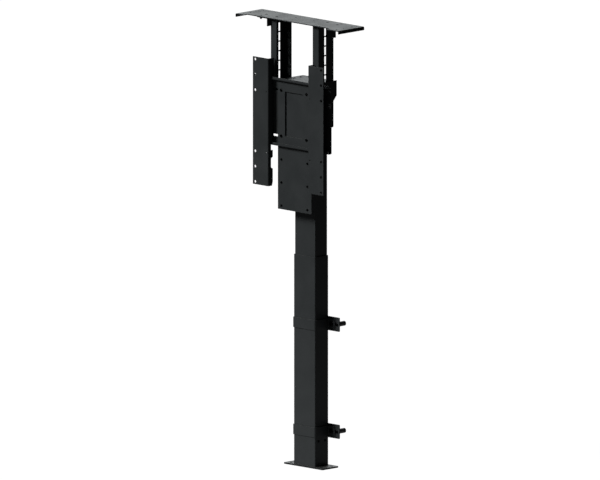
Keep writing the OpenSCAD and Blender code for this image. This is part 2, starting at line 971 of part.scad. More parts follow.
module head_channel() {
    color(black)
        difference() {
            translate([0, -head_front, head_foot])
                linear_extrude(cap_low - head_foot)
                    u_section(2 * head_x, head_depth, sheet_t, bend_r);
            translate([0, -head_front + 2 * sheet_t, 0])
                rotate([90, 0, 0])
                    linear_extrude(4 * sheet_t) {
                        window();
                        for (s = [-1, 1], z = head_screw_z)
                            translate([s * head_screw_x, z])
                                circle(d = screw_d + 2 * play);
                        for (s = [-1, 1], k = [0, 1])
                            translate([s * plate_screw_x, plate_screw_z(k)])
                                circle(d = plate_hole_d);
                    }
            for (z = lock_left)
                pin_x(-2 * head_x, 0, row_left, z, lock_d + 2 * play);
            for (z = lock_right)
                pin_x(0, 2 * head_x, row_right, z, lock_d + 2 * play);
        }
}

module head_screws() {
    color(zinc)
        for (s = [-1, 1], z = head_screw_z)
            facing_front(s * head_screw_x, -head_front, z)
                pan_screw(screw_d, head_screw_l);
}

// section of the screen plate with its two hook rails, drawn in the YZ plane
module screen_section() {
    front = -plate_front;
    translate([front, plate_low + sheet_t + bend_r])
        square([sheet_t, head_top - plate_low - sheet_t - 2 * bend_r]);
    // upper rail: forward out of the plate's top edge, then up
    translate([front - bend_r, head_top - bend_r])
        elbow(sheet_t, bend_r);
    translate([-lip_back + bend_r, head_top])
        square([lip_back - plate_front - 2 * bend_r, sheet_t]);
    translate([-lip_back + bend_r, head_top + sheet_t + bend_r])
        rotate(180)
            elbow(sheet_t, bend_r);
    translate([-rail_front, head_top + sheet_t + bend_r])
        square([sheet_t, rail_high_h - sheet_t - bend_r]);
    // lower rail: forward out of the plate's lower edge, then up
    translate([front - bend_r, plate_low + sheet_t + bend_r])
        rotate(-90)
            elbow(sheet_t, bend_r);
    translate([-lip_back + bend_r, plate_low])
        square([lip_back - plate_front - 2 * bend_r, sheet_t]);
    translate([-lip_back + bend_r, plate_low + sheet_t + bend_r])
        rotate(180)
            elbow(sheet_t, bend_r);
    translate([-rail_front, plate_low + sheet_t + bend_r])
        square([sheet_t, rail_low_h - sheet_t - bend_r]);
}

module screen_plate() {
    color(black)
        difference() {
            translate([-plate_x, 0, 0])
                along_x(2 * plate_x)
                    screen_section();
            translate([0, -head_front + sheet_t, 0])
                rotate([90, 0, 0])
                    linear_extrude(3 * sheet_t) {
                        window();
                        for (s = [-1, 1], k = [0, 1]) {
                            translate([s * plate_screw_x, plate_screw_z(k)])
                                circle(d = plate_hole_d);
                            translate([s * plate_slot_x, plate_screw_z(k)])
                                slot(plate_slot_l, plate_slot_w);
                            translate([s * (plate_x - end_hole_in), head_top - end_hole_down])
                                circle(d = end_hole_d);
                        }
                    }
        }
}

module plate_screws() {
    color(zinc)
        for (s = [-1, 1], k = [0, 1])
            facing_front(s * plate_screw_x, -plate_front, plate_screw_z(k))
                pan_screw(plate_screw_d, plate_screw_l);
}

// a guide shoe inside an upright, for the right side
module shoe(row, locks) {
    shoe_front = upright_front - sheet_t - slide_clear;
    shoe_rear = upright_rear + sheet_t + slide_clear;
    color(plastic)
        difference() {
            translate([head_x, -(shoe_front + shoe_rear) / 2, shoe_low])
                linear_extrude(shoe_high - shoe_low)
                    rotate(-90)
                        u_section(shoe_front - shoe_rear, shoe_x - head_x, sheet_t, bend_r);
            for (z = locks)
                pin_x(0, upright_x, row, z, lock_d + 2 * play);
        }
}

module right_shoe() {
    shoe(row_right, lock_right);
}

module left_shoe() {
    mirror([1, 0, 0])
        shoe(row_left, lock_left);
}

clamp_plate_t = sheet_t;

// a lock plate on an upright's outer face, with a tab behind the upright that ends at tab_high
module clamp_plate(row, locks, tab_high) {
    color(black)
        difference() {
            translate([upright_x + slide_clear, 0, 0])
                along_x(clamp_plate_t)
                    polygon([[-upright_mid - tab_front, shoe_low + tab_in],
                        [-upright_rear - tab_in, shoe_low + tab_in],
                        [-upright_rear - tab_in, tab_high - tab_h - tab_slope],
                        [-upright_rear + tab_out, tab_high - tab_h],
                        [-upright_rear + tab_out, tab_high], [-upright_mid - tab_front, tab_high]]);
            for (z = locks)
                pin_x(0, 2 * upright_x, row, z, lock_d + 2 * play);
        }
}

module right_clamp_plate() {
    clamp_plate(row_right, lock_right, head_top + tab_up);
}

module left_clamp_plate() {
    mirror([1, 0, 0])
        clamp_plate(row_left, lock_left, head_top - tab_down);
}

lock_seat = upright_x + slide_clear + clamp_plate_t;

module lock_bolts() {
    color(zinc) {
        for (z = lock_right)
            translate([lock_seat, row_right, z])
                rotate([0, 90, 0])
                    hex_bolt(lock_d, lock_seat - head_x + sheet_t + lock_out);
        for (z = lock_left)
            translate([-lock_seat, row_left, z])
                rotate([0, -90, 0])
                    hex_bolt(lock_d, lock_seat - head_x + sheet_t + lock_out);
    }
}

module lock_nuts() {
    color(zinc) {
        for (z = lock_right)
            translate([head_x - sheet_t, row_right, z])
                rotate([0, -90, 0])
                    nut(lock_d);
        for (z = lock_left)
            translate([-head_x + sheet_t, row_left, z])
                rotate([0, 90, 0])
                    nut(lock_d);
    }
}

// an upright for the right side: a U open towards the middle
module upright(row, locks, bolt_y, chamfer) {
    slots = [for (k = [-slots_each_way:slots_each_way]) locks[0] + k * slot_pitch];
    color(black)
        difference() {
            translate([upright_x, -upright_mid, upright_low])
                linear_extrude(upright_len)
                    rotate(90)
                        u_section(upright_d, flange_w, sheet_t, bend_r);
            for (z = slots)
                if (z - slot_l / 2 > upright_low + slot_end && z + slot_l / 2 < upright_top - slot_end)
                    translate([upright_x - 2 * sheet_t, row, z])
                        along_x(4 * sheet_t)
                            rotate(90)
                                rounded(slot_l, slot_w, slot_r);
            pin_x(0, 2 * upright_x, bolt_y, bracket_z, lock_d + 2 * play);
            if (chamfer > 0)
                translate([upright_x, -upright_rear, upright_low])
                    rotate([45, 0, 0])
                        cube([4 * flange_w, chamfer * sqrt(2), chamfer * sqrt(2)], center = true);
        }
}

module right_upright() {
    upright(row_right, lock_right, bracket_bolt_right, 4);
}

module left_upright() {
    mirror([1, 0, 0])
        upright(row_left, lock_left, bracket_bolt_left, 4);
}

// an ear outside an upright that carries the lid plate, for the right side,
// from y0 to y1, with its bolt and its screws
module bracket(y0, y1, h, bolt_y, screws) {
    color(black)
        difference() {
            translate([upright_x, y1, upright_top])
                rotate([90, 0, 0])
                    linear_extrude(y1 - y0)
                        mirror([0, 1])
                            angle_section(bracket_bolt_x + 2 * plate_screw_d - upright_x, h, sheet_t, bend_r);
            pin_x(0, 2 * upright_x, bolt_y, bracket_z, lock_d + 2 * play);
            for (y = screws)
                translate([bracket_bolt_x, y, upright_top - 2 * sheet_t])
                    cylinder(h = 3 * sheet_t, d = plate_screw_d + 2 * play);
        }
}

module right_bracket() {
    bracket(-right_ear_front, right_ear_rear, right_ear_h, bracket_bolt_right, right_screw_y);
}

module left_bracket() {
    mirror([1, 0, 0])
        bracket(-left_ear_front, -left_ear_rear, left_ear_h, bracket_bolt_left, left_screw_y);
}

// an angle inside an upright under the lid plate, for the right side, from y0 to y1
module angle(y0, y1, bolt_y) {
    color(black)
        difference() {
            translate([upright_x - sheet_t, y1, upright_top])
                rotate([90, 0, 0])
                    linear_extrude(y1 - y0)
                        rotate(180)
                            angle_section(flange_w - 2 * sheet_t + angle_out, ear_bolt_down + 1.25 * lock_d,
                                sheet_t, bend_r);
            pin_x(0, 2 * upright_x, bolt_y, bracket_z, lock_d + 2 * play);
            translate([upright_screw_x, bolt_y, upright_top - 2 * sheet_t])
                cylinder(h = 3 * sheet_t, d = plate_screw_d + 2 * play);
        }
}

module right_angle() {
    angle(-right_ear_front, -upright_rear - upright_bend, bracket_bolt_right);
}

module left_angle() {
    mirror([1, 0, 0])
        angle(-upright_front + upright_bend, -left_ear_rear, bracket_bolt_left);
}

module bracket_bolts() {
    color(zinc)
        for (s = [-1, 1])
            translate([s * (upright_x + sheet_t), s > 0 ? bracket_bolt_right : bracket_bolt_left, bracket_z])
                rotate([0, s * 90, 0])
                    hex_bolt(lock_d, 3 * sheet_t + 8);
}

module bracket_nuts() {
    color(zinc)
        for (s = [-1, 1])
            translate([s * (upright_x - 2 * sheet_t), s > 0 ? bracket_bolt_right : bracket_bolt_left,
                bracket_z])
                rotate([0, s * -90, 0])
                    nut(lock_d);
}

// the lid plate seen from above
module lid_outline() {
    translate([-lid_x, -lid_front])
        square([lid_x - lid_left_end, lid_front + lid_rear]);
    translate([lid_right_end, -lid_front])
        square([lid_x - lid_right_end, lid_front + lid_rear]);
    translate([-lid_x, -lid_mid_front])
        square([2 * lid_x, lid_mid_front + lid_rear]);
}

module lid_plate() {
    color(black)
        difference() {
            intersection() {
                translate([0, lid_rear, upright_top + lid_t])
                    rotate([90, 0, 0])
                        linear_extrude(lid_front + lid_rear)
                            mirror([0, 1])
                                u_section(2 * lid_x, lip_h, lid_t, bend_r);
                translate([0, 0, upright_top - lip_h])
                    linear_extrude(2 * lip_h)
                        lid_outline();
            }
            for (s = [-1, 1]) {
                for (y = lid_hole_y)
                    translate([s * lid_hole_x, y, upright_top - cut])
                        cylinder(h = lid_t + 2 * cut, d = lid_hole_d);
                for (y = mid_hole_y)
                    translate([s * mid_hole_x, y, upright_top - cut])
                        cylinder(h = lid_t + 2 * cut, d = lid_hole_d);
            }
            for (at = lid_screw_at) {
                translate([at[0], at[1], upright_top - cut])
                    cylinder(h = lid_t + 2 * cut, d = plate_screw_d + 2 * play);
                translate([at[0], at[1], upright_top + lid_t])
                    head_cone(plate_screw_d, sink_h, 2 * play, cut);
            }
        }
}

module lid_screws() {
    color(zinc)
        for (at = lid_screw_at)
            translate([at[0], at[1], upright_top + lid_t])
                flush_screw(plate_screw_d, lid_screw_l, sink_h);
}

module lid_nuts() {
    color(zinc)
        for (at = lid_screw_at)
            translate([at[0], at[1], upright_top - sheet_t])
                mirror([0, 0, 1])
                    nut(plate_screw_d);
}

// outline of an arm's side flange in the YZ plane
module arm_side() {
    rear = -(arm_front - arm_depth);
    free = -rail_front - hook_gap;
    behind = -lip_back + hook_gap;
    tongue = -plate_front - tongue_gap;
    notch_top = plate_low - notch_down;
    notch_low = notch_top - notch_h;
    hook_low = head_top + sheet_t + bend_r + hook_clear;
    polygon([[-arm_front, arm_low], [rear - arm_taper, arm_low], [rear, arm_low + 4 * arm_taper],
        [rear, notch_low], [free, notch_low + notch_slope], [free, notch_top - notch_slope],
        [rear, notch_top], [rear, plate_low - rail_free], [free, plate_low - rail_free],
        [free, rail_low_top + lower_play], [behind, rail_low_top + lower_play],
        [behind, plate_low + 2 * sheet_t], [rear, plate_low + 2 * sheet_t],
        [rear, head_top - rail_free], [free, head_top - rail_free],
        [free, rail_high_top + hook_clear], [behind, rail_high_top + hook_clear],
        [behind, hook_low], [tongue, hook_low], [tongue, arm_high], [-arm_front, arm_high]]);
}

// an arm for the right side
module arm() {
    color(black)
        difference() {
            intersection() {
                translate([arm_x, -arm_front, arm_low])
                    linear_extrude(arm_high - arm_low)
                        angle_section(arm_w, arm_front, sheet_t, bend_r);
                translate([arm_x - cut, 0, 0])
                    union() {
                        along_x(cut + sheet_t)
                            arm_side();
                        translate([cut, -arm_front, arm_low])
                            cube([arm_w, sheet_t + bend_r, arm_high - arm_low]);
                    }
            }
            for (k = [0, 1, 2, 6, 7, 8])
                pin_y(screen_x, -arm_front - cut, 0, screen_z(k), screen_hole_d);
            for (k = [2, 6])
                pin_y(arm_x + tooling_in, -arm_front - cut, 0, screen_z(k), tooling_d);
        }
}

function screen_z(k) = arm_low + screen_up + k * screen_pitch;

module right_arm() {
    arm();
}

module left_arm() {
    mirror([1, 0, 0])
        arm();
}

base_plate();
outer_column();
outer_glides();
motor();
gearbox();
drive_block();
block_screws();
thrust_bearing();
cable_gland();
upper_strap();
lower_strap();
upper_cross_plate();
lower_cross_plate();
clamp_bolts();
clamp_nuts();
wall_spacers();
spacer_tips();
spacer_screws();
spindle();
spindle_stop();
inner_column();
inner_glides();
nut_block();
nut_block_screws();
drive_nut();
carrier_plate();
left_web();
right_web();
web_screws();
head_cap();
cap_screws();
head_channel();
head_screws();
screen_plate();
plate_screws();
left_shoe();
right_shoe();
left_clamp_plate();
right_clamp_plate();
lock_bolts();
lock_nuts();
left_upright();
right_upright();
left_bracket();
right_bracket();
left_angle();
right_angle();
bracket_bolts();
bracket_nuts();
lid_plate();
lid_screws();
lid_nuts();
left_arm();
right_arm();
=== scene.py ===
"""Looks of a motor driven television lift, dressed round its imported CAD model.

A telescopic column stands on a floor plate, a head with hook rails carries two screen
arms, and two slotted uprights carry a lid plate. Lengths are in metres, +Z is up and the
origin lies on the floor under the column.
"""
import logging
import math
from collections.abc import Callable, Iterable
from dataclasses import dataclass, field
from enum import Enum
from functools import partial

import bpy
import numpy as np
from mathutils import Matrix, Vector


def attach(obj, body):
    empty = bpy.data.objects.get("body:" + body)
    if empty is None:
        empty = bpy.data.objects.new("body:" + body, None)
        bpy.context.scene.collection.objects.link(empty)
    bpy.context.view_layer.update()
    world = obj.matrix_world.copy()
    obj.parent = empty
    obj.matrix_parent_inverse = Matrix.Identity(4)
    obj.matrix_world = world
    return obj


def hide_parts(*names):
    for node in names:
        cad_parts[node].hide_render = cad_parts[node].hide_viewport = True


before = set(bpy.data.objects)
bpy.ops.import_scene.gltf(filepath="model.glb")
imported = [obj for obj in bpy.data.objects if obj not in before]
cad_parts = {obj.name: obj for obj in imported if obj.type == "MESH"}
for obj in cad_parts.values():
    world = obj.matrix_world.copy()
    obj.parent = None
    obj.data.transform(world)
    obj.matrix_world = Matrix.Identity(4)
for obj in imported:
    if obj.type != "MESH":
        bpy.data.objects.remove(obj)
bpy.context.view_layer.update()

log = logging.getLogger("television_lift")

Node = bpy.types.Node
NodeTree = bpy.types.NodeTree
Socket = bpy.types.NodeSocket
Effect = Callable[[], NodeTree]
Point = tuple[float, float, float]
Colour = tuple[float, float, float]
Face = tuple[int, ...]
Range = tuple[float, float, float, float]
"""Start and end of a range, and the results at its start and end."""

MM = 0.001
EDGE = 0.02 * MM
"""A corner this near to the end of a solid lies on that end."""
PER_METRE = 1e5
"""Corners that agree when rounded to this many steps per metre are one corner."""
RING_CORNERS = 48
SMOOTH_TO = math.radians(32.0)
"""Edges sharper than this angle stay sharp."""
THIRTY = math.pi / 6
"""Half the angle that one side of a hexagon spans."""
CHAMFER = 1.73
"""How fast a chamfer of thirty degrees widens below its end."""
CHAMFER_FROM = 0.96
"""Its radius at the end, in shares of half the width over the flats."""
WHITE: Colour = (1.0, 1.0, 1.0)


class Body(Enum):
    """The bodies that new pieces ride on, by their names in the record."""

    BASE = "base"
    SPINDLE = "spindle"
    CARRIAGE = "carriage"
    LID = "lid"


class Fastener(Enum):
    """The kinds of screw and nut on the lift."""

    PAN = "pan head screw with a hexagon socket"
    HEX = "hexagon head bolt"
    FLUSH = "flush screw with a hexagon socket"
    CHEESE = "low flat head screw"
    NUT = "hexagon nut"


# ---- meshes


def add_object(name: str, data: bpy.types.ID) -> bpy.types.Object:
    """Links a mesh, lamp or camera to the scene as an object at the origin."""
    piece = bpy.data.objects.new(name, data)
    bpy.context.scene.collection.objects.link(piece)
    return piece


@dataclass
class Shell:
    """A mesh that grows by parts.

    Attributes:
        points: corners, in metres.
        faces: corner numbers of each face.
    """

    points: list[Point] = field(default_factory=list)
    faces: list[Face] = field(default_factory=list)

    def add(self, points: Iterable[Point], faces: Iterable[Face]) -> None:
        """Adds a part whose faces count its own corners from nought."""
        start = len(self.points)
        self.points.extend(tuple(float(c) for c in p) for p in points)
        self.faces.extend(tuple(start + i for i in face) for face in faces)

    def loft(self, rings: list[np.ndarray], closed: bool = False) -> None:
        """Adds a skin over rings of equal count.

        Args:
            rings: corner rings, counter-clockwise seen from the last ring.
            closed: joins the last ring to the first; otherwise both ends get a cap.
        """
        count = len(rings[0])
        sides = [(i, (i + 1) % count) for i in range(count)]
        starts = [k * count for k in range(len(rings))]
        points = [tuple(p) for ring in rings for p in ring]
        pairs = zip(starts, starts[1:] + ([0] if closed else []))
        faces = [(low + i, low + j, high + j, high + i) for low, high in pairs for i, j in sides]
        if not closed:
            foot, top, last = len(points), len(points) + 1, starts[-1]
            points += [tuple(np.mean(rings[0], axis=0)), tuple(np.mean(rings[-1], axis=0))]
            for i, j in sides:
                faces += [(foot, j, i), (top, last + i, last + j)]
        self.add(points, faces)

    def object(self, name: str) -> bpy.types.Object:
        """Turns the shell into an object with smooth faces and sharp edges."""
        mesh = bpy.data.meshes.new(name)
        mesh.from_pydata(self.points, [], self.faces)
        mesh.validate()
        mesh.update()
        mesh.polygons.foreach_set("use_smooth", [True] * len(mesh.polygons))
        mesh.set_sharp_from_angle(angle=SMOOTH_TO)
        return add_object(name, mesh)


def ring(radius: float | Callable[[float], float], z: float) -> np.ndarray:
    """A ring of corners round Z; its radius may be a function of the angle."""
    turn = np.linspace(0.0, 2.0 * math.pi, RING_CORNERS, endpoint=False)
    reach = [radius(a) if callable(radius) else radius for a in turn]
    return np.array([(r * math.cos(a), r * math.sin(a), z) for r, a in zip(reach, turn)])


def hexagon(corner: float, limit: float = math.inf) -> Callable[[float], float]:
    """The radius of a hexagon over the angle, cut back to a circle.

    Args:
        corner: distance from the middle to a corner.
        limit: radius of the circle that cuts the corners.
    """
    flat = corner * math.cos(THIRTY)

    def reach(angle: float) -> float:
        """Radius at an angle."""
        from_corner = abs((angle + THIRTY) % (2.0 * THIRTY) - THIRTY)
        return min(flat / math.cos(THIRTY - from_corner), limit)

    return reach


def chamfered(corner: float, depth: float) -> Callable[[float], float]:
    """The radius of a hexagon over the angle, at a depth below its chamfered end."""
    flat = corner * math.cos(THIRTY)
    return hexagon(corner, CHAMFER_FROM * flat + CHAMFER * depth)


def islands(node: str) -> list[np.ndarray]:
    """The corners of each separate solid of a CAD node, ordered by place."""
    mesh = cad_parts[node].data
    mesh.calc_loop_triangles()
    corners = np.empty(len(mesh.vertices) * 3)
    mesh.vertices.foreach_get("co", corners)
    corners = corners.reshape(-1, 3)
    steps = np.round(corners * PER_METRE).astype(np.int64)
    same = np.unique(steps, axis=0, return_inverse=True)[1].reshape(-1)
    triangles = np.empty(len(mesh.loop_triangles) * 3, dtype=np.int32)
    mesh.loop_triangles.foreach_get("vertices", triangles)
    triangles = same[triangles].reshape(-1, 3)
    group, before = np.arange(same.max() + 1), None
    while before is None or (group != before).any():
        before = group.copy()
        np.minimum.at(group, triangles, group[triangles].min(axis=1, keepdims=True))
    solids = [corners[group[same] == lowest] for lowest in np.unique(group[same])]
    return sorted(solids, key=lambda s: tuple(np.round(s.mean(axis=0) * PER_METRE)))


# ---- node trees


def rgba(colour: object) -> object:
    """A plain colour with full opacity; a socket stays as it is."""
    return (*colour, 1.0) if isinstance(colour, tuple) else colour


@dataclass
class Tree:
    """A node tree with short calls for its nodes and links."""

    tree: NodeTree

    @staticmethod
    def start(owner: bpy.types.Material | bpy.types.World) -> "Tree":
        """The emptied tree of a material or a world."""
        owner.use_nodes = True
        owner.node_tree.nodes.clear()
        return Tree(owner.node_tree)

    def link(self, value: object, socket: Socket) -> None:
        """Feeds an input from a socket, a node's first output or a plain value."""
        if isinstance(value, Node):
            value = value.outputs[0]
        if isinstance(value, Socket):
            self.tree.links.new(value, socket)
        else:
            socket.default_value = value

    def feed(self, node: Node, **values: object) -> None:
        """Feeds a node's inputs by name, with _ for a space."""
        for name, value in values.items():
            self.link(value, node.inputs[name.replace("_", " ")])

    def node(self, kind: str, links: dict[str | int, object] | None = None,
             **settings: object) -> Node:
        """Adds a node.

        Args:
            kind: the node's type name.
            links: what feeds its inputs, by their names or numbers.
            settings: the node's own options.

        Returns:
            The new node.
        """
        node = self.tree.nodes.new(kind)
        for name, value in settings.items():
            setattr(node, name, value)
        for key, value in (links or {}).items():
            self.link(value, node.inputs[key])
        return node

    def group(self, effect: NodeTree, **values: object) -> Node:
        """Places a node group and feeds its inputs."""
        node = self.node("ShaderNodeGroup", node_tree=effect)
        self.feed(node, **values)
        return node

    def place(self) -> Socket:
        """The place on the object."""
        return self.node("ShaderNodeTexCoord").outputs["Object"]

    def normal(self) -> Socket:
        """The face's direction."""
        return self.node("ShaderNodeNewGeometry").outputs["Normal"]

    def noise(self, place: object, scale: object, detail: float, roughness: float = 0.5,
              distortion: float = 0.0) -> Socket:
        """Adds a noise; its inputs are those of the Noise Texture node."""
        return self.node("ShaderNodeTexNoise", {
            "Vector": place, "Scale": scale, "Detail": detail, "Roughness": roughness,
            "Distortion": distortion}).outputs["Fac"]

    def math(self, operation: str, first: object, second: object = 0.0) -> Socket:
        """Adds a Math node without clamping."""
        return self.node("ShaderNodeMath", {0: first, 1: second}, operation=operation).outputs[0]

    def dot(self, first: object, second: object) -> Socket:
        """The dot product of two vectors."""
        return self.node("ShaderNodeVectorMath", {0: first, 1: second},
                         operation="DOT_PRODUCT").outputs["Value"]

    def blend(self, share: object, first: object, second: object) -> Socket:
        """Adds a share of the first value to the rest of the second."""
        rest = 1.0 - share if isinstance(share, float) else self.math("SUBTRACT", 1.0, share)
        return self.math("ADD", self.math("MULTIPLY", share, first),
                         self.math("MULTIPLY", rest, second))

    def spread(self, value: object, low: float, high: float, out_low: float = 0.0,
               out_high: float = 1.0) -> Socket:
        """Maps the range from low to high to that from out_low to out_high, clamped."""
        return self.node("ShaderNodeMapRange", {"Value": value, "From Min": low, "From Max": high,
                                                "To Min": out_low, "To Max": out_high}).outputs[0]

    def mix(self, factor: object, first: object, second: object) -> Socket:
        """Mixes two colours."""
        return self.node("ShaderNodeMix", {0: factor, 6: rgba(first), 7: rgba(second)},
                         data_type="RGBA").outputs[2]

    def light(self, kind: str, strength: object, colour: Colour = WHITE) -> Socket:
        """Adds an Emission or Background shader."""
        return self.node(kind, {"Color": rgba(colour), "Strength": strength}).outputs[0]

    def shaders(self, factor: object, first: object, second: object) -> Socket:
        """Mixes two shaders."""
        return self.node("ShaderNodeMixShader", {0: factor, 1: first, 2: second}).outputs[0]


def node_group(name: str, kind: str, inputs: dict[str, str],
               outputs: dict[str, str]) -> tuple[Tree, Node, Node]:
    """Starts a node group with named inputs and outputs.

    Args:
        name: the group's name.
        kind: the tree's type name.
        inputs: what each input carries, such as Float or Geometry.
        outputs: the same for each output.

    Returns:
        The tree, its input node and its output node.
    """
    tree = bpy.data.node_groups.new(name, kind)
    for side, labels in (("INPUT", inputs), ("OUTPUT", outputs)):
        for label, carried in labels.items():
            tree.interface.new_socket(label, in_out=side, socket_type=f"NodeSocket{carried}")
    return Tree(tree), tree.nodes.new("NodeGroupInput"), tree.nodes.new("NodeGroupOutput")


def shader_group(name: str, inputs: dict[str, str], outputs: dict[str, str] | None = None
                 ) -> tuple[Tree, Node, Node]:
    """Starts a shader effect; unless outputs says otherwise it gives a pattern's outputs."""
    pattern = {"Height": "Float", "Tone": "Float", "Gloss": "Float"}
    return node_group(name, "ShaderNodeTree", inputs, outputs or pattern)


def peel() -> NodeTree:
    """Powder coat's fine peel, with slow patches in tone."""
    t, entry, leave = shader_group("coat_peel", {"Scale": "Float"})
    place, scale = t.place(), entry.outputs["Scale"]
    fine = t.noise(place, scale, detail=2.0, roughness=0.55)
    wide = t.noise(place, scale=14.0, detail=3.0, distortion=0.3)
    speck = t.node("ShaderNodeTexVoronoi", {"Vector": place,
                                            "Scale": t.math("MULTIPLY", scale, 0.6)})
    pits = t.spread(speck, 0.0, 0.45)
    t.feed(leave, Height=t.blend(0.7, fine, pits),
           Tone=t.blend(0.6, t.spread(wide, 0.3, 0.7), t.spread(fine, 0.35, 0.65)),
           Gloss=t.spread(wide, 0.35, 0.65))
    return t.tree


def brush() -> NodeTree:
    """Fine parallel lines left by rolling, turning or drawing."""
    t, entry, leave = shader_group("drawn_lines", {"Scale": "Float", "Stretch": "Vector"})
    place = t.place()
    drawn = t.node("ShaderNodeVectorMath", {0: place, 1: entry.outputs["Stretch"]},
                   operation="MULTIPLY")
    line = t.noise(drawn, entry.outputs["Scale"], detail=3.0, roughness=0.7)
    cloud = t.noise(place, scale=120.0, detail=3.0)
    tone = t.spread(t.blend(0.6, line, cloud), 0.3, 0.7)
    t.feed(leave, Height=line, Tone=tone, Gloss=tone)
    return t.tree


def grain() -> NodeTree:
    """Leather-like grain of a moulded plastic or rubber part."""
    t, entry, leave = shader_group("moulded_grain", {"Scale": "Float"})
    place = t.place()
    cell = t.node("ShaderNodeTexVoronoi", {"Vector": place, "Scale": entry.outputs["Scale"]},
                  feature="SMOOTH_F1")
    tone = t.spread(t.noise(place, scale=90.0, detail=3.0), 0.3, 0.7)
    t.feed(leave, Height=cell, Tone=tone, Gloss=tone)
    return t.tree


def rub() -> NodeTree:
    """A mask and a softened normal along outer edges."""
    t, entry, leave = shader_group("edge_rub", {"Edge Radius": "Float", "Breakup Scale": "Float"},
                                   {"Mask": "Float", "Normal": "Vector"})
    soft = t.node("ShaderNodeBevel", {"Radius": entry.outputs["Edge Radius"]}, samples=4)
    edge = t.spread(t.dot(soft, t.normal()), 0.995, 0.86)
    rough = t.noise(t.place(), entry.outputs["Breakup Scale"], detail=4.0, roughness=0.65)
    broken = t.spread(rough, 0.42, 0.62, 0.25, 1.0)
    t.feed(leave, Mask=t.math("MULTIPLY", edge, broken), Normal=soft)
    return t.tree


def dust() -> NodeTree:
    """Thin dust on faces that look up."""
    t, entry, leave = shader_group("settled_dust", {"Amount": "Float"}, {"Mask": "Float"})
    up = t.node("ShaderNodeSeparateXYZ", {0: t.normal()}).outputs["Z"]
    cloud = t.noise(t.place(), scale=38.0, detail=5.0, roughness=0.6)
    lying = t.math("MULTIPLY", t.spread(up, 0.55, 1.0), t.spread(cloud, 0.3, 0.75, 0.35, 1.0))
    t.feed(leave, Mask=t.math("MULTIPLY", lying, entry.outputs["Amount"]))
    return t.tree


# ---- finishes


@dataclass(frozen=True)
class Finish:
    """A finish of the lift: a pattern between two colours, rubbed along the edges.

    Attributes:
        name: the material's name.
        slot: the record's material slot; not used.
        dark: colour of the darkest patches.
        light: colour of the lightest patches.
        rough: lowest and highest roughness.
        effect: the shared effect that makes the pattern.
        settings: inputs of that effect.
        rubbed: colour of a rubbed edge.
        edge: width of a rubbed edge, in metres.
        breakup: scale of the gaps in a rubbed edge.
        rub: share of the rubbed colour along a fully rubbed edge.
        rub_gloss: roughness that a fully rubbed edge loses.
        bump: depth of the pattern, in metres.
        specular: specular level of a non-metal.
        metal: 1 for a metal and 0 for anything else.
        dust: share of dust on a level face.
    """

    name: str
    slot: str
    dark: Colour
    light: Colour
    rough: tuple[float, float]
    effect: Effect
    settings: dict[str, object]
    rubbed: Colour
    edge: float
    breakup: float
    rub: float = 0.5
    rub_gloss: float = 0.0
    bump: float = 0.00003
    specular: float = 0.5
    metal: float = 0.0
    dust: float = 0.0

    def material(self, effects: dict[Effect, NodeTree]) -> bpy.types.Material:
        """Builds the finish's material from the shared effects."""
        material = bpy.data.materials.new(self.name)
        material.diffuse_color = rgba(self.light)
        t = Tree.start(material)
        pattern = t.group(effects[self.effect], **self.settings).outputs
        worn = t.group(effects[rub], Edge_Radius=self.edge, Breakup_Scale=self.breakup).outputs
        colour = t.mix(pattern["Tone"], self.dark, self.light)
        colour = t.mix(t.math("MULTIPLY", worn["Mask"], self.rub), colour, self.rubbed)
        rough = t.spread(pattern["Gloss"], 0.0, 1.0, *self.rough)
        if self.dust:
            lying = t.group(effects[dust], Amount=self.dust)
            colour = t.mix(lying, colour, DUST_COLOUR)
            rough = t.math("ADD", rough, t.math("MULTIPLY", lying, DUST_ROUGH))
        rough = t.math("SUBTRACT", rough, t.math("MULTIPLY", worn["Mask"], self.rub_gloss))
        bump = t.node("ShaderNodeBump", {"Strength": 1.0, "Distance": self.bump,
                                         "Height": pattern["Height"], "Normal": worn["Normal"]})
        shader = t.node("ShaderNodeBsdfPrincipled", {
            "Base Color": colour, "Roughness": rough, "Metallic": self.metal,
            "Specular IOR Level": self.specular, "Normal": bump})
        t.node("ShaderNodeOutputMaterial", {"Surface": shader})
        return material


DUST_COLOUR: Colour = (0.12, 0.118, 0.112)
DUST_ROUGH = 0.3
"""Roughness that full dust adds."""

# The kinds of finish: powder coat, metal with the lines of its making, and moulded parts.
POWDER = partial(Finish, effect=peel, settings={"Scale": 950.0}, rubbed=(0.06, 0.06, 0.062),
                 edge=0.0006, breakup=90.0, rub_gloss=0.1, specular=0.3, dust=0.3)
METAL = partial(Finish, effect=brush, rubbed=(0.6, 0.6, 0.62), edge=0.0003, breakup=300.0,
                rub=0.6, bump=0.00001, metal=1.0)
MOULDED = partial(Finish, effect=grain, edge=0.0004, breakup=220.0)
PLATED = {"Scale": 900.0, "Stretch": (1.0, 1.0, 1.0)}
CAST = {"Scale": 600.0, "Stretch": (1.0, 1.0, 1.0)}
TURNED = {"Scale": 1500.0, "Stretch": (0.05, 0.05, 1.0)}

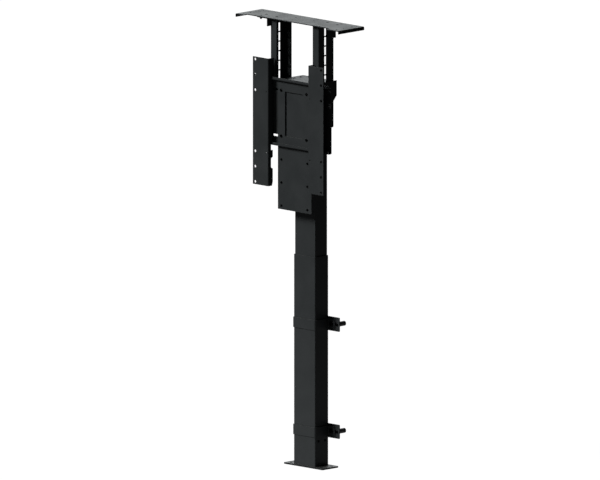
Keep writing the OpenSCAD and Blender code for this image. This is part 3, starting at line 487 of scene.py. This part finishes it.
COAT = POWDER("black_powder_coat", "black_coat", (0.0212, 0.0240, 0.0250),
              (0.0246, 0.0278, 0.0290), (0.42, 0.50))
# The floor plate's coat is the powder coat made darker: painted shade near the floor.
FLOOR_COAT_PAINTED_SHADE = POWDER("floor_plate_coat", "black_coat", (0.0105, 0.0118, 0.0123),
                    (0.0125, 0.0141, 0.0147), (0.42, 0.50))
WELD_COAT = POWDER("coated_weld", "black_coat", (0.012, 0.0127, 0.013), (0.017, 0.018, 0.0185),
                   (0.44, 0.54), settings={"Scale": 500.0}, bump=0.00006, specular=0.2)
BLACK_ZINC = METAL("black_zinc", "zinc_screws", (0.004, 0.004, 0.0045), (0.010, 0.010, 0.011),
                   (0.32, 0.44), settings=PLATED, rubbed=(0.03, 0.03, 0.032))
DULL_ZINC = METAL("dull_black_zinc", "zinc_screws", (0.002, 0.002, 0.0022),
                  (0.005, 0.005, 0.0054), (0.8, 0.9), settings=PLATED,
                  rubbed=(0.008, 0.008, 0.009))
TURNED_STEEL = METAL("turned_steel", "steel", (0.36, 0.36, 0.37), (0.5, 0.5, 0.52),
                     (0.22, 0.36), settings=TURNED)
CAST_ALLOY = METAL("cast_alloy", "alloy", (0.5, 0.51, 0.53), (0.64, 0.65, 0.67), (0.34, 0.5),
                   settings=CAST, rubbed=(0.75, 0.76, 0.78), bump=0.00003)
NUT_BRONZE = METAL("turned_bronze", "bronze", (0.5, 0.34, 0.13), (0.64, 0.46, 0.2),
                   (0.24, 0.38), settings=TURNED, rubbed=(0.78, 0.6, 0.32))
GLIDE = MOULDED("glide_plastic", "glide_plastic", (0.035, 0.035, 0.037), (0.055, 0.055, 0.058),
                (0.36, 0.46), settings={"Scale": 1200.0}, rubbed=(0.088, 0.088, 0.0928),
                bump=0.00002)
RUBBER = MOULDED("rubber_tip", "rubber_tip", (0.014, 0.014, 0.014), (0.024, 0.024, 0.024),
                 (0.62, 0.8), settings={"Scale": 900.0}, rubbed=(0.0384, 0.0384, 0.0384),
                 bump=0.00004, specular=0.35)


class Palette:
    """Builds each finish's material once and dresses pieces in it."""

    def __init__(self) -> None:
        """Builds the shared effects, and no material yet."""
        self.effects = {make: make() for make in (peel, brush, grain, rub, dust)}
        self.made: dict[str, bpy.types.Material] = {}

    def material(self, finish: Finish) -> bpy.types.Material:
        """The material of a finish."""
        if finish.name not in self.made:
            self.made[finish.name] = finish.material(self.effects)
        return self.made[finish.name]

    def dress_nodes(self, finish: Finish, nodes: Iterable[str]) -> None:
        """Gives CAD nodes their finish."""
        for node in nodes:
            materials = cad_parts[node].data.materials
            if not materials:
                materials.append(self.material(finish))
            for number in range(len(materials)):
                materials[number] = self.material(finish)
            log.info("dressed %s in %s", node, finish.name)

    def dress_piece(self, piece: bpy.types.Object, finish: Finish, body: Body,
                    *nodes: str) -> None:
        """Finishes a new piece: material, body and the nodes it stands for.

        Args:
            piece: the new piece.
            finish: its finish.
            body: the body it rides on.
            nodes: CAD nodes that it replaces.
        """
        piece.data.materials.clear()
        piece.data.materials.append(self.material(finish))
        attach(piece, body.value)
        if nodes:
            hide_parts(*nodes)
        log.info("built %s on %s: %d faces", piece.name, body.value, len(piece.data.polygons))


# ---- geometry node trees


class GeometryTree:
    """A Geometry Nodes tree that is run once and leaves a plain mesh."""

    def __init__(self, name: str, inputs: dict[str, str]) -> None:
        """Starts the tree; inputs says what each of them carries, beside the finish."""
        self.t, self.entry, self.leave = node_group(
            name, "GeometryNodeTree", {**inputs, "Finish": "Material"}, {"Result": "Geometry"})
        self.names = {i.name: i.identifier for i in self.t.tree.interface.items_tree
                      if i.in_out == "INPUT"}

    def close(self, geometry: Node) -> None:
        """Ends the tree in Realize Instances and Set Material."""
        real = self.t.node("GeometryNodeRealizeInstances", {0: geometry})
        done = self.t.node("GeometryNodeSetMaterial", {"Geometry": real,
                                                       "Material": self.entry.outputs["Finish"]})
        self.t.feed(self.leave, Result=done)

    def turn(self, angle: Socket) -> Node:
        """A turn about Z."""
        return self.t.node("FunctionNodeAxisAngleToRotation", {"Axis": (0.0, 0.0, 1.0),
                                                               "Angle": angle})

    def close_with_copies(self, points: object, copy: object, turned: Node) -> None:
        """Ends the tree in a turned copy on each point."""
        self.close(self.t.node("GeometryNodeInstanceOnPoints", {
            "Points": points, "Instance": copy, "Rotation": turned}))

    def run(self, piece: bpy.types.Object, **values: object) -> None:
        """Runs the tree on an object and keeps the result as its plain mesh.

        Args:
            piece: the object whose mesh is the tree's first input.
            values: the other inputs, with _ for a space.
        """
        modifier = piece.modifiers.new("made", "NODES")
        modifier.node_group = self.t.tree
        for key, value in values.items():
            modifier[self.names[key.replace("_", " ")]] = value
        graph = bpy.context.evaluated_depsgraph_get()
        mesh = bpy.data.meshes.new_from_object(piece.evaluated_get(graph))
        piece.modifiers.clear()
        old = piece.data
        piece.data = mesh
        bpy.data.meshes.remove(old)
        mesh.name = piece.name


class FastenerTree(GeometryTree):
    """Sets a master fastener on each seat, turned about its own axis."""

    def __init__(self) -> None:
        """Builds the tree."""
        super().__init__("fastener_tree", {"Seats": "Geometry", "Master": "Object",
                                           "Seed": "Int", "Largest Turn": "Float"})
        t, source = self.t, self.entry.outputs
        axis = t.node("GeometryNodeInputNamedAttribute", {"Name": "axis"}, data_type="FLOAT_VECTOR")
        upright = t.node("FunctionNodeAlignRotationToVector", {"Vector": axis}, axis="Z")
        chance = t.node("FunctionNodeRandomValue", data_type="FLOAT")
        for socket in chance.inputs:
            if socket.name == "Seed":
                t.link(source["Seed"], socket)
            elif socket.enabled and socket.name == "Max":
                t.link(source["Largest Turn"], socket)
        turn = self.turn(next(o for o in chance.outputs if o.enabled))
        whole = t.node("FunctionNodeRotateRotation", {"Rotation": upright, "Rotate By": turn},
                       rotation_space="LOCAL")
        master = t.node("GeometryNodeObjectInfo", {"Object": source["Master"]})
        self.close_with_copies(source["Seats"], master.outputs["Geometry"], whole)


class ThreadTree(GeometryTree):
    """A helical ridge with one or more starts, rising along Z from the origin."""

    def __init__(self) -> None:
        """Builds the tree."""
        super().__init__("thread_tree", {
            "Geometry": "Geometry", "Radius": "Float", "Turns": "Float", "Length": "Float",
            "Ridge": "Float", "Starts": "Int", "Steps": "Int"})
        t, source = self.t, self.entry.outputs
        helix = t.node("GeometryNodeCurveSpiral", {
            "Resolution": source["Steps"], "Rotations": source["Turns"],
            "Start Radius": source["Radius"], "End Radius": source["Radius"],
            "Height": source["Length"]})
        section = t.node("GeometryNodeCurvePrimitiveCircle", {"Resolution": 4,
                                                              "Radius": source["Ridge"]})
        ridge = t.node("GeometryNodeCurveToMesh", {"Curve": helix, "Profile Curve": section,
                                                   "Fill Caps": True})
        spots = t.node("GeometryNodePoints", {"Count": source["Starts"]})
        share = t.math("DIVIDE", t.node("GeometryNodeInputIndex"), source["Starts"])
        turn = self.turn(t.math("MULTIPLY", share, 2.0 * math.pi))
        self.close_with_copies(spots, ridge, turn)

    def cut(self, shell: Shell, foot: float, **values: object) -> None:
        """Adds a thread to a shell.

        Args:
            shell: takes the thread.
            foot: height of the thread's lower end.
            values: all the tree's inputs but the finish.
        """
        carrier = add_object("thread", bpy.data.meshes.new("thread"))
        self.run(carrier, **values)
        shell.add([(v.co.x, v.co.y, v.co.z + foot) for v in carrier.data.vertices],
                  [tuple(f.vertices) for f in carrier.data.polygons])
        bpy.data.objects.remove(carrier)


class WeldTree(GeometryTree):
    """A rippled weld bead along a closed path."""

    def __init__(self) -> None:
        """Builds the tree."""
        super().__init__("weld_tree", {
            "Path": "Geometry", "Bead Radius": "Float", "Ripple": "Float",
            "Ripple Pitch": "Float", "Step": "Float"})
        t, source = self.t, self.entry.outputs
        line = t.node("GeometryNodeMeshToCurve", {0: source["Path"]})
        even = t.node("GeometryNodeResampleCurve", {"Curve": line, "Length": source["Step"]},
                      mode="LENGTH")
        along = t.node("GeometryNodeSplineParameter")
        kept = t.node("GeometryNodeCaptureAttribute", domain="POINT")
        kept.capture_items.new("FLOAT", "along")
        t.link(even, kept.inputs[0])
        t.link(along.outputs["Length"], kept.inputs[1])
        section = t.node("GeometryNodeCurvePrimitiveCircle", {"Resolution": 12,
                                                              "Radius": source["Bead Radius"]})
        bead = t.node("GeometryNodeCurveToMesh", {"Curve": kept, "Profile Curve": section})
        waves = t.math("DIVIDE", kept.outputs[1], source["Ripple Pitch"])
        scale = t.math("ABSOLUTE", t.math("SINE", t.math("MULTIPLY", waves, math.pi)))
        noise = t.node("ShaderNodeTexNoise", {
            "Vector": t.node("GeometryNodeInputPosition"), "W": 0.0, "Scale": 160.0,
            "Detail": 1.0}, noise_dimensions="4D")
        swell = t.math("MULTIPLY", t.math("ADD", scale, noise), source["Ripple"])
        push = t.node("ShaderNodeVectorMath", {0: t.node("GeometryNodeInputNormal"),
                                               "Scale": swell}, operation="SCALE")
        moved = t.node("GeometryNodeSetPosition", {"Geometry": bead, "Offset": push})
        self.close(t.node("GeometryNodeSetShadeSmooth", {0: moved}))


# ---- fasteners


@dataclass(frozen=True)
class Fit:
    """A CAD node of equal fasteners.

    Attributes:
        node: the CAD node.
        kind: what they are.
        seed: seed of their turns.
        inward: for nuts, a point on the side that they press against.
        finish: their finish.
    """

    node: str
    kind: Fastener
    seed: int
    inward: Point = (0.0, 0.0, 0.0)
    finish: Finish = BLACK_ZINC


@dataclass(frozen=True)
class Seat:
    """Where a fastener sits, read from its CAD solid.

    Attributes:
        place: the point on its axis where the head or nut meets the metal.
        axis: direction from the shank to the head.
        shank: diameter of the shank, or of a nut's bore.
        length: length of the shank below the head.
        width: width of the head or nut over its corners.
        height: height of the head or nut.
    """

    place: Point
    axis: Point
    shank: float
    length: float
    width: float
    height: float

    @staticmethod
    def read(solid: np.ndarray, fit: Fit) -> "Seat":
        """Reads the seat of a fastener from the corners of its solid along X, Y or Z."""
        nut, flush = fit.kind is Fastener.NUT, fit.kind is Fastener.FLUSH
        size = np.ptp(solid, axis=0)
        line = int(np.argmin(size) if nut else np.argmax(size))
        middle = (solid.min(axis=0) + solid.max(axis=0)) / 2.0
        off = np.delete(solid - middle, line, axis=1)
        reach = np.hypot(off[:, 0], off[:, 1])

        def low_end(heights: np.ndarray) -> float:
            """The solid's radius at its low end."""
            return reach[heights < heights.min() + EDGE].max()

        along = solid[:, line]
        upward = middle[line] > fit.inward[line] if nut else low_end(-along) > low_end(along)
        sign = 1.0 if upward else -1.0
        along = sign * along
        shank = reach.min() if nut else low_end(along)
        wide = along if nut else along[reach > HEAD_FROM * shank]
        seat = along.max() if flush else wide.min()
        height = (wide.max() if flush else along.max()) - wide.min()
        place, axis = list(middle), [0.0, 0.0, 0.0]
        place[line], axis[line] = sign * seat, sign
        return Seat(tuple(place), tuple(axis), 2.0 * shank, seat - along.min(),
                    2.0 * reach.max(), height)


HEAD_FROM = 1.08
"""A corner belongs to the head from this many times the shank's radius on."""

DOME = (0.2, 0.4, 0.6, 0.8, 0.95)
HEADS = {
    Fastener.FLUSH: ((0.985, -0.02), (0.97, 0.0)),
    Fastener.CHEESE: ((1.0, 0.0), (1.0, 0.7), (0.97, 1.0)),
    Fastener.PAN: ((0.97, 0.0), (1.0, 0.06), (1.0, 0.22),
                   *((math.cos(a), 0.22 + 0.78 * math.sin(a) ** 0.9) for a in DOME)),
}
"""Outline of each socket head, in shares of its radius and its height."""

SOCKETS = {Fastener.FLUSH: (0.0, -0.85), Fastener.CHEESE: (1.0, 0.1), Fastener.PAN: (1.0, 0.35)}
"""Mouth and floor of each head's socket, in shares of the head's height."""

SOCKET_SIZE = 0.31
"""Radius of a socket's corners, in shares of the shank's diameter."""

HEX_LEVELS = (0.16, 0.7, 0.78, 0.86, 0.93, 1.0)
"""Levels of a hexagon head's rings above its washer face, in shares of its height."""

CORE = 0.86
"""Core of a threaded shank, in shares of its radius."""

NUT_LEVELS = (0.0, 0.07, 0.15, 0.25, 0.75, 0.85, 0.93, 1.0)
"""Levels of a nut's outer rings, in shares of its height."""


@dataclass
class Hardware:
    """Makes the screws, bolts and nuts from their CAD solids.

    The thread's sizes are shares of the shank's diameter.

    Attributes:
        palette: dresses the pieces.
        thread: the tree that cuts threads.
        place: the tree that sets fasteners on their seats.
        pitch: pitch of a thread.
        depth: half height of its ridge.
        bare: length of the shank without a thread, at both ends together.
        tip: the part of it at the tip.
        steps: corners in one turn.
        largest_turn: largest turn of a fastener about its axis, in radians.
    """

    palette: Palette
    thread: ThreadTree = field(default_factory=ThreadTree)
    place: FastenerTree = field(default_factory=FastenerTree)
    pitch: float = 0.155
    depth: float = 0.075
    bare: float = 0.62
    tip: float = 0.3
    steps: int = 16
    largest_turn: float = 6.283

    def build(self, fit: Fit, body: Body) -> None:
        """Replaces a CAD node of fasteners with detailed ones that ride on a body."""
        seats = [Seat.read(solid, fit) for solid in islands(fit.node)]
        master = self.master(fit.kind, seats[0]).object(f"{fit.node}_master")
        points = bpy.data.meshes.new(f"{fit.node}_seats")
        points.from_pydata([s.place for s in seats], [], [])
        axes = points.attributes.new("axis", "FLOAT_VECTOR", "POINT")
        axes.data.foreach_set("vector", [c for s in seats for c in s.axis])
        piece = add_object(f"{fit.node}_fitted", points)
        self.place.run(piece, Master=master, Seed=fit.seed, Largest_Turn=self.largest_turn,
                       Finish=self.palette.material(fit.finish))
        bpy.data.objects.remove(master)
        piece.data.set_sharp_from_angle(angle=SMOOTH_TO)
        self.palette.dress_piece(piece, fit.finish, body, fit.node)

    def master(self, kind: Fastener, seat: Seat) -> Shell:
        """One fastener with its seat at the origin and its head along +Z."""
        shell = Shell()
        if kind is Fastener.NUT:
            shell.loft(self._nut(seat), closed=True)
            return shell
        head = self._hex_head(seat) if kind is Fastener.HEX else self._socket_head(kind, seat)
        shell.loft(self._shank(kind, seat) + head)
        if kind is not Fastener.FLUSH:
            self._threads(shell, seat)
        return shell

    @staticmethod
    def _hex_head(seat: Seat) -> list[np.ndarray]:
        """The rings of a hexagon head with a washer face, from its seat to its top."""
        r, h = seat.width / 2.0, seat.height
        flat = r * math.cos(THIRTY)
        washer = [ring(0.94 * flat, 0.0), ring(0.95 * flat, 0.06 * h),
                  ring(hexagon(r, 1.002 * flat + 0.02 * seat.shank), 0.07 * h)]
        sides = [ring(chamfered(r, h - z * h), z * h) for z in HEX_LEVELS]
        return washer + sides + [ring(0.80 * flat, h), ring(0.74 * flat, 0.965 * h)]

    @staticmethod
    def _socket_head(kind: Fastener, seat: Seat) -> list[np.ndarray]:
        """The rings of a head with a hexagon socket, from its seat to the socket's floor."""
        r, h, d = seat.width / 2.0, seat.height, seat.shank
        top, floor = (share * h for share in SOCKETS[kind])
        socket = SOCKET_SIZE * d
        return [ring(out * r, up * h) for out, up in HEADS[kind]] + [
            ring(1.12 * socket, top), ring(hexagon(1.04 * socket), top - 0.04 * d),
            ring(hexagon(socket), top - 0.08 * d), ring(hexagon(socket), floor + 0.03 * d),
            ring(hexagon(0.94 * socket), floor), ring(0.3 * socket, floor - 0.06 * d)]

    @staticmethod
    def _shank(kind: Fastener, seat: Seat) -> list[np.ndarray]:
        """The rings of a shank, from its tip to its head."""
        r, d, foot = seat.shank / 2.0, seat.shank, -seat.length
        if kind is Fastener.FLUSH:
            cone = (seat.width - d) / 2.0
            return [ring(0.8 * r, foot), ring(0.99 * r, foot + 0.2 * r), ring(0.99 * r, -cone)]
        core = CORE * r
        return [ring(0.6 * core, foot), ring(core, foot + 0.35 * r), ring(core, -0.2 * d),
                ring(r, -0.06 * d), ring(r, 0.0)]

    def _threads(self, shell: Shell, seat: Seat) -> None:
        """Adds the thread's ridge to a shank that has room for two turns."""
        pitch, depth = self.pitch * seat.shank, self.depth * seat.shank
        span = seat.length - self.bare * seat.shank
        if span >= 2.0 * pitch:
            self.thread.cut(shell, self.tip * seat.shank - seat.length,
                            Radius=seat.shank / 2.0 - depth, Turns=span / pitch, Length=span,
                            Ridge=depth, Starts=1, Steps=self.steps)

    @staticmethod
    def _nut(seat: Seat) -> list[np.ndarray]:
        """The rings of a nut with chamfered corners, up its outside and down its bore."""
        corner, h, bore = seat.width / 2.0, seat.height, seat.shank / 2.0
        outer = [ring(chamfered(corner, h * min(z, 1.0 - z)), z * h) for z in NUT_LEVELS]
        return outer + [ring(1.12 * bore, h), ring(1.001 * bore, 0.9 * h),
                        ring(1.001 * bore, 0.1 * h), ring(1.12 * bore, 0.0)]


# ---- sub-assemblies


@dataclass(frozen=True)
class Assembly:
    """A sub-assembly of the lift.

    Attributes:
        body: the body that its fasteners ride on.
        wears: finishes, each with the CAD nodes that wear it.
        fits: its fasteners.
    """

    body: Body | None
    wears: tuple[tuple[Finish, tuple[str, ...]], ...]
    fits: tuple[Fit, ...] = ()

    def build(self, palette: Palette, hardware: Hardware) -> None:
        """Dresses the assembly's nodes and makes its fasteners."""
        for finish, nodes in self.wears:
            palette.dress_nodes(finish, nodes)
        for fit in self.fits:
            hardware.build(fit, self.body)


@dataclass(frozen=True)
class FloorStand(Assembly):
    """The floor plate with the fixed column and the weld at its foot.

    Attributes:
        column_width: width of the outer column.
        column_depth: depth of the outer column.
        corner: its outer corner radius.
        corner_steps: path corners along each rounded corner, less one.
        plate: thickness of the floor plate.
        bead: radius of the weld.
        bead_rise: height of the weld's middle above the plate, in shares of its radius.
        ripple: height of its ripples.
        ripple_pitch: distance from one ripple to the next.
        step: length of one stretch of its mesh.
    """

    column_width: float = 98 * MM
    column_depth: float = 61 * MM
    corner: float = 3.5 * MM
    corner_steps: int = 6
    plate: float = 5 * MM
    bead: float = 1.2 * MM
    bead_rise: float = 0.2
    ripple: float = 0.2 * MM
    ripple_pitch: float = 1.6 * MM
    step: float = 0.4 * MM

    def build(self, palette: Palette, hardware: Hardware) -> None:
        """Adds the weld, then builds the rest."""
        self.weld(palette)
        super().build(palette, hardware)

    def weld(self, palette: Palette) -> None:
        """Adds the weld bead round the column's foot."""
        half_x, half_y = self.column_width / 2.0, self.column_depth / 2.0
        level = self.plate + self.bead_rise * self.bead
        path: list[Point] = []
        for quarter, (sx, sy) in enumerate(((1, 1), (-1, 1), (-1, -1), (1, -1))):
            for step in range(self.corner_steps + 1):
                a = (quarter + step / self.corner_steps) * math.pi / 2.0
                path.append((sx * (half_x - self.corner) + self.corner * math.cos(a),
                             sy * (half_y - self.corner) + self.corner * math.sin(a), level))
        mesh = bpy.data.meshes.new("foot_weld")
        mesh.from_pydata(path, [(i, (i + 1) % len(path)) for i in range(len(path))], [])
        bead = add_object("foot_weld", mesh)
        WeldTree().run(bead, Bead_Radius=self.bead, Ripple=self.ripple,
                       Ripple_Pitch=self.ripple_pitch, Step=self.step,
                       Finish=palette.material(WELD_COAT))
        palette.dress_piece(bead, WELD_COAT, Body.BASE)


@dataclass(frozen=True)
class Drive(Assembly):
    """The motor, gearbox, bearing, spindle and nut inside the column.

    Attributes:
        starts: number of thread starts on the spindle.
        lead: rise in one turn.
        ridge: half height of the thread's ridge.
        runout: bare length below and above the thread.
        steps: corners in one turn.
    """

    starts: int = 2
    lead: float = 10 * MM
    ridge: float = 1.0 * MM
    runout: float = 3 * MM
    steps: int = 28

    def build(self, palette: Palette, hardware: Hardware) -> None:
        """Builds the rest, then adds the spindle."""
        super().build(palette, hardware)
        self.spindle(palette, hardware)

    def spindle(self, palette: Palette, hardware: Hardware) -> None:
        """Replaces the plain spindle with a threaded one."""
        solid = islands("spindle")[0]
        low, high = float(solid[:, 2].min()), float(solid[:, 2].max())
        reach = np.hypot(solid[:, 0], solid[:, 1])
        major = float(reach.max())
        journal = float(reach[solid[:, 2] < low + EDGE].max())
        foot = float(solid[reach > major - EDGE][:, 2].min())
        core = major - 2.0 * self.ridge
        start = foot + self.runout + self.ridge
        shell = Shell()
        shell.loft([ring(0.94 * journal, low), ring(journal, low + 0.5 * MM),
                    ring(journal, foot - 0.01 * MM), ring(0.98 * major, foot),
                    ring(major, foot + 0.3 * MM), ring(major, foot + self.runout),
                    ring(core, start), ring(core, high - self.runout), ring(0.9 * core, high)])
        span = high - foot - 2.0 * self.runout - 2.0 * self.ridge
        hardware.thread.cut(shell, start, Radius=major - self.ridge, Turns=span / self.lead,
                            Length=span, Ridge=self.ridge, Starts=self.starts, Steps=self.steps)
        palette.dress_piece(shell.object("threaded_spindle"), TURNED_STEEL, Body.SPINDLE, "spindle")


LIFT = (
    FloorStand(
        Body.BASE,
        # The floor plate wears the darker coat of painted shade.
        wears=((FLOOR_COAT_PAINTED_SHADE, ("base_plate",)), (COAT, ("outer_column",)),
               (GLIDE, ("outer_glides", "cable_gland"))),
        fits=(Fit("block_screws", Fastener.PAN, 3),)),
    Drive(
        Body.CARRIAGE,
        wears=((TURNED_STEEL, ("motor", "thrust_bearing", "spindle_stop")),
               (CAST_ALLOY, ("gearbox", "drive_block", "nut_block")),
               (NUT_BRONZE, ("drive_nut",))),
        fits=(Fit("nut_block_screws", Fastener.CHEESE, 5),)),
    # The two straps, their cross plates and the wall spacers.
    Assembly(
        Body.BASE,
        wears=((COAT, ("upper_strap", "lower_strap", "upper_cross_plate", "lower_cross_plate")),
               (GLIDE, ("wall_spacers",)), (RUBBER, ("spacer_tips",))),
        fits=(Fit("clamp_bolts", Fastener.HEX, 7),
              Fit("clamp_nuts", Fastener.NUT, 11),
              Fit("spacer_screws", Fastener.PAN, 13))),
    # The moving column and the head with its hook rails, shoes and lock bolts.
    Assembly(
        Body.CARRIAGE,
        wears=((COAT, ("inner_column", "carrier_plate", "left_web", "right_web", "head_cap",
                       "head_channel", "screen_plate", "left_shoe", "right_shoe",
                       "left_clamp_plate", "right_clamp_plate")),
               (GLIDE, ("inner_glides",))),
        fits=(Fit("web_screws", Fastener.PAN, 17), Fit("cap_screws", Fastener.PAN, 18),
              Fit("head_screws", Fastener.PAN, 19), Fit("plate_screws", Fastener.PAN, 20),
              Fit("lock_bolts", Fastener.HEX, 23),
              Fit("lock_nuts", Fastener.NUT, 29))),
    # The slotted uprights with the lid plate, whose level is above the lid's nuts.
    Assembly(
        Body.LID,
        wears=((COAT, ("left_upright", "right_upright", "left_bracket", "right_bracket",
                       "left_angle", "right_angle", "lid_plate")),),
        fits=(Fit("bracket_bolts", Fastener.HEX, 31),
              Fit("bracket_nuts", Fastener.NUT, 37),
              Fit("lid_screws", Fastener.FLUSH, 41, finish=DULL_ZINC),
              Fit("lid_nuts", Fastener.NUT, 43, inward=(0.0, 0.0, 1463 * MM)))),
    # The two arms that hang on the hook rails.
    Assembly(None, wears=((COAT, ("left_arm", "right_arm")),)),
)
"""The lift's sub-assemblies, in the order in which they are built."""


# ---- studio


def direction(turn: float, rise: float) -> Vector:
    """The direction some degrees right of the front and some above the floor."""
    a, b = math.radians(turn), math.radians(rise)
    return Vector((math.sin(a) * math.cos(b), -math.cos(a) * math.cos(b), math.sin(b)))


@dataclass(frozen=True)
class Lamp:
    """A soft lamp far away.

    Attributes:
        name: the lamp's name.
        turn: degrees that it stands right of the front.
        rise: degrees that it stands above the floor.
        power: its strength.
        width: its apparent width in degrees.
        glossy: whether gloss mirrors it.
    """

    name: str
    turn: float
    rise: float
    power: float
    width: float
    glossy: bool = True

    def build(self) -> None:
        """Adds the lamp to the scene."""
        data = bpy.data.lights.new(self.name, "SUN")
        data.energy = self.power
        data.angle = math.radians(self.width)
        lamp = add_object(self.name, data)
        lamp.rotation_euler = direction(self.turn, self.rise).to_track_quat("Z", "Y").to_euler()
        lamp.visible_glossy = self.glossy


@dataclass(frozen=True)
class Studio:
    """Floor, surroundings, lamps and camera.

    The ranges run from near to far, or from aside to straight ahead.

    Attributes:
        lamps: the key light to the left, and the lamp behind.
        floor_half: half the side of the floor.
        floor_grey: the floor's own colour.
        floor_lit: share of the light that makes the floor white in the picture.
        floor_white: strength of that light.
        floor_ahead: direction from the lift to the floor in front of it.
        floor_turn: distances that way between which the floor counts as behind and in front.
        floor_front: the front floor's brightness over the distance, as the lift sees it, which is
            painted light.
        floor_back: the same for the floor behind, dimmer, which is painted shade.
        mirror_side: direction of the wall that gloss mirrors.
        mirror: its brightness over the cosine of the angle from its middle.
        mirror_colour: its colour.
        fill_side: direction from which most of the soft light comes.
        fill: strength of the soft light over the cosine of the angle from there.
        view_turn: degrees that the camera stands right of the front.
        view_rise: degrees that it stands above the floor.
        view_distance: its distance from the middle of the view.
        view_depth: how far it sees.
        view_width: width of the view, in metres; a metre spans 310.7 of its 600 pixels.
        look_at: middle of the view.
    """

    lamps: tuple[Lamp, ...] = (Lamp("key_light", -30.0, 33.0, 3.3, 18.0),
                               Lamp("rear_light", -160.0, 18.0, 3.4, 24.0, glossy=False))
    floor_half: float = 9.0
    floor_grey: Colour = (0.8, 0.8, 0.8)
    floor_lit: float = 0.93
    floor_white: float = 1.06
    floor_ahead: Point = (-0.6, -0.8, 0.0)
    floor_turn: tuple[float, float] = (-0.2, 0.3)
    floor_front: Range = (0.3, 2.5, 0.4, 0.03)
    floor_back: Range = (2.3, 4.4, 0.168, 0.0)
    mirror_side: Point = (-1.0, 0.8, 0.2)
    mirror: Range = (0.66, 0.94, 0.0, 1.88)
    mirror_colour: Colour = (0.94, 0.985, 1.0)
    fill_side: Point = (-0.6, -0.8, 0.3)
    fill: Range = (0.2, 1.0, 0.005, 0.15)
    view_turn: float = 45.0
    view_rise: float = 10.0
    view_distance: float = 6.0
    view_depth: float = 50.0
    view_width: float = 600.0 / 310.7
    look_at: Point = (-0.02526, -0.02526, 0.7373)

    def build(self) -> None:
        """Builds the floor, the world, the lamps and the camera."""
        bpy.context.scene.view_settings.view_transform = "Standard"
        self.floor()
        self.world()
        for lamp in self.lamps:
            lamp.build()
        self.camera()

    def floor(self) -> None:
        """A white floor that shows as white and keeps a faint shadow; for the lift it glows with
        painted light.
        """
        shell = Shell()
        half = self.floor_half
        shell.add([(-half, -half, 0.0), (half, -half, 0.0), (half, half, 0.0), (-half, half, 0.0)],
                  [(0, 1, 2, 3)])
        piece = shell.object("studio_floor")
        material = bpy.data.materials.new("studio_floor")
        piece.data.materials.append(material)
        t = Tree.start(material)
        matt = t.node("ShaderNodeBsdfDiffuse", {"Color": rgba(self.floor_grey)})
        seen = t.shaders(self.floor_lit, matt, t.light("ShaderNodeEmission", self.floor_white))
        place = t.node("ShaderNodeNewGeometry").outputs["Position"]
        reach = t.node("ShaderNodeVectorMath", {0: place}, operation="LENGTH").outputs["Value"]
        # Painted light and shade on the floor: the glow that the lift sees is brighter in front
        # than behind.
        ahead = t.spread(t.dot(place, self.floor_ahead), *self.floor_turn)
        glow = t.blend(ahead, t.spread(reach, *self.floor_front),
                       t.spread(reach, *self.floor_back))
        painted_floor_glow = t.light("ShaderNodeEmission", glow)
        camera = t.node("ShaderNodeLightPath").outputs["Is Camera Ray"]
        t.node("ShaderNodeOutputMaterial", {"Surface": t.shaders(camera, painted_floor_glow, seen)})

    def world(self) -> None:
        """White behind the lift; its reflections are bright only to the back left."""
        world = bpy.data.worlds.new("studio")
        bpy.context.scene.world = world
        t = Tree.start(world)
        path = t.node("ShaderNodeLightPath").outputs
        way = t.node("ShaderNodeTexCoord").outputs["Generated"]

        def glow(side: Point, strengths: Range, colour: Colour) -> Socket:
            """A background that is brightest on one side."""
            towards = tuple(Vector(side).normalized())
            return t.light("ShaderNodeBackground", t.spread(t.dot(way, towards), *strengths),
                           colour)

        soft = t.shaders(path["Is Glossy Ray"], glow(self.fill_side, self.fill, WHITE),
                         glow(self.mirror_side, self.mirror, self.mirror_colour))
        seen = t.math("MAXIMUM", path["Is Camera Ray"], path["Is Transmission Ray"])
        either = t.shaders(seen, soft, t.light("ShaderNodeBackground", 1.0))
        t.node("ShaderNodeOutputWorld", {"Surface": either})

    def camera(self) -> None:
        """The camera, looking along parallel lines as the photograph does."""
        data = bpy.data.cameras.new("camera")
        data.type = "ORTHO"
        data.ortho_scale = self.view_width
        data.clip_end = self.view_depth
        towards = direction(self.view_turn, self.view_rise)
        camera = add_object("camera", data)
        camera.location = Vector(self.look_at) + self.view_distance * towards
        camera.rotation_euler = towards.to_track_quat("Z", "Y").to_euler()
        bpy.context.scene.camera = camera


def main() -> None:
    """Builds the lift's looks in order."""
    logging.basicConfig(level=logging.INFO, format="%(message)s")
    palette = Palette()
    hardware = Hardware(palette)
    for assembly in LIFT:
        assembly.build(palette, hardware)
    Studio().build()


if __name__ == "__main__":
    main()
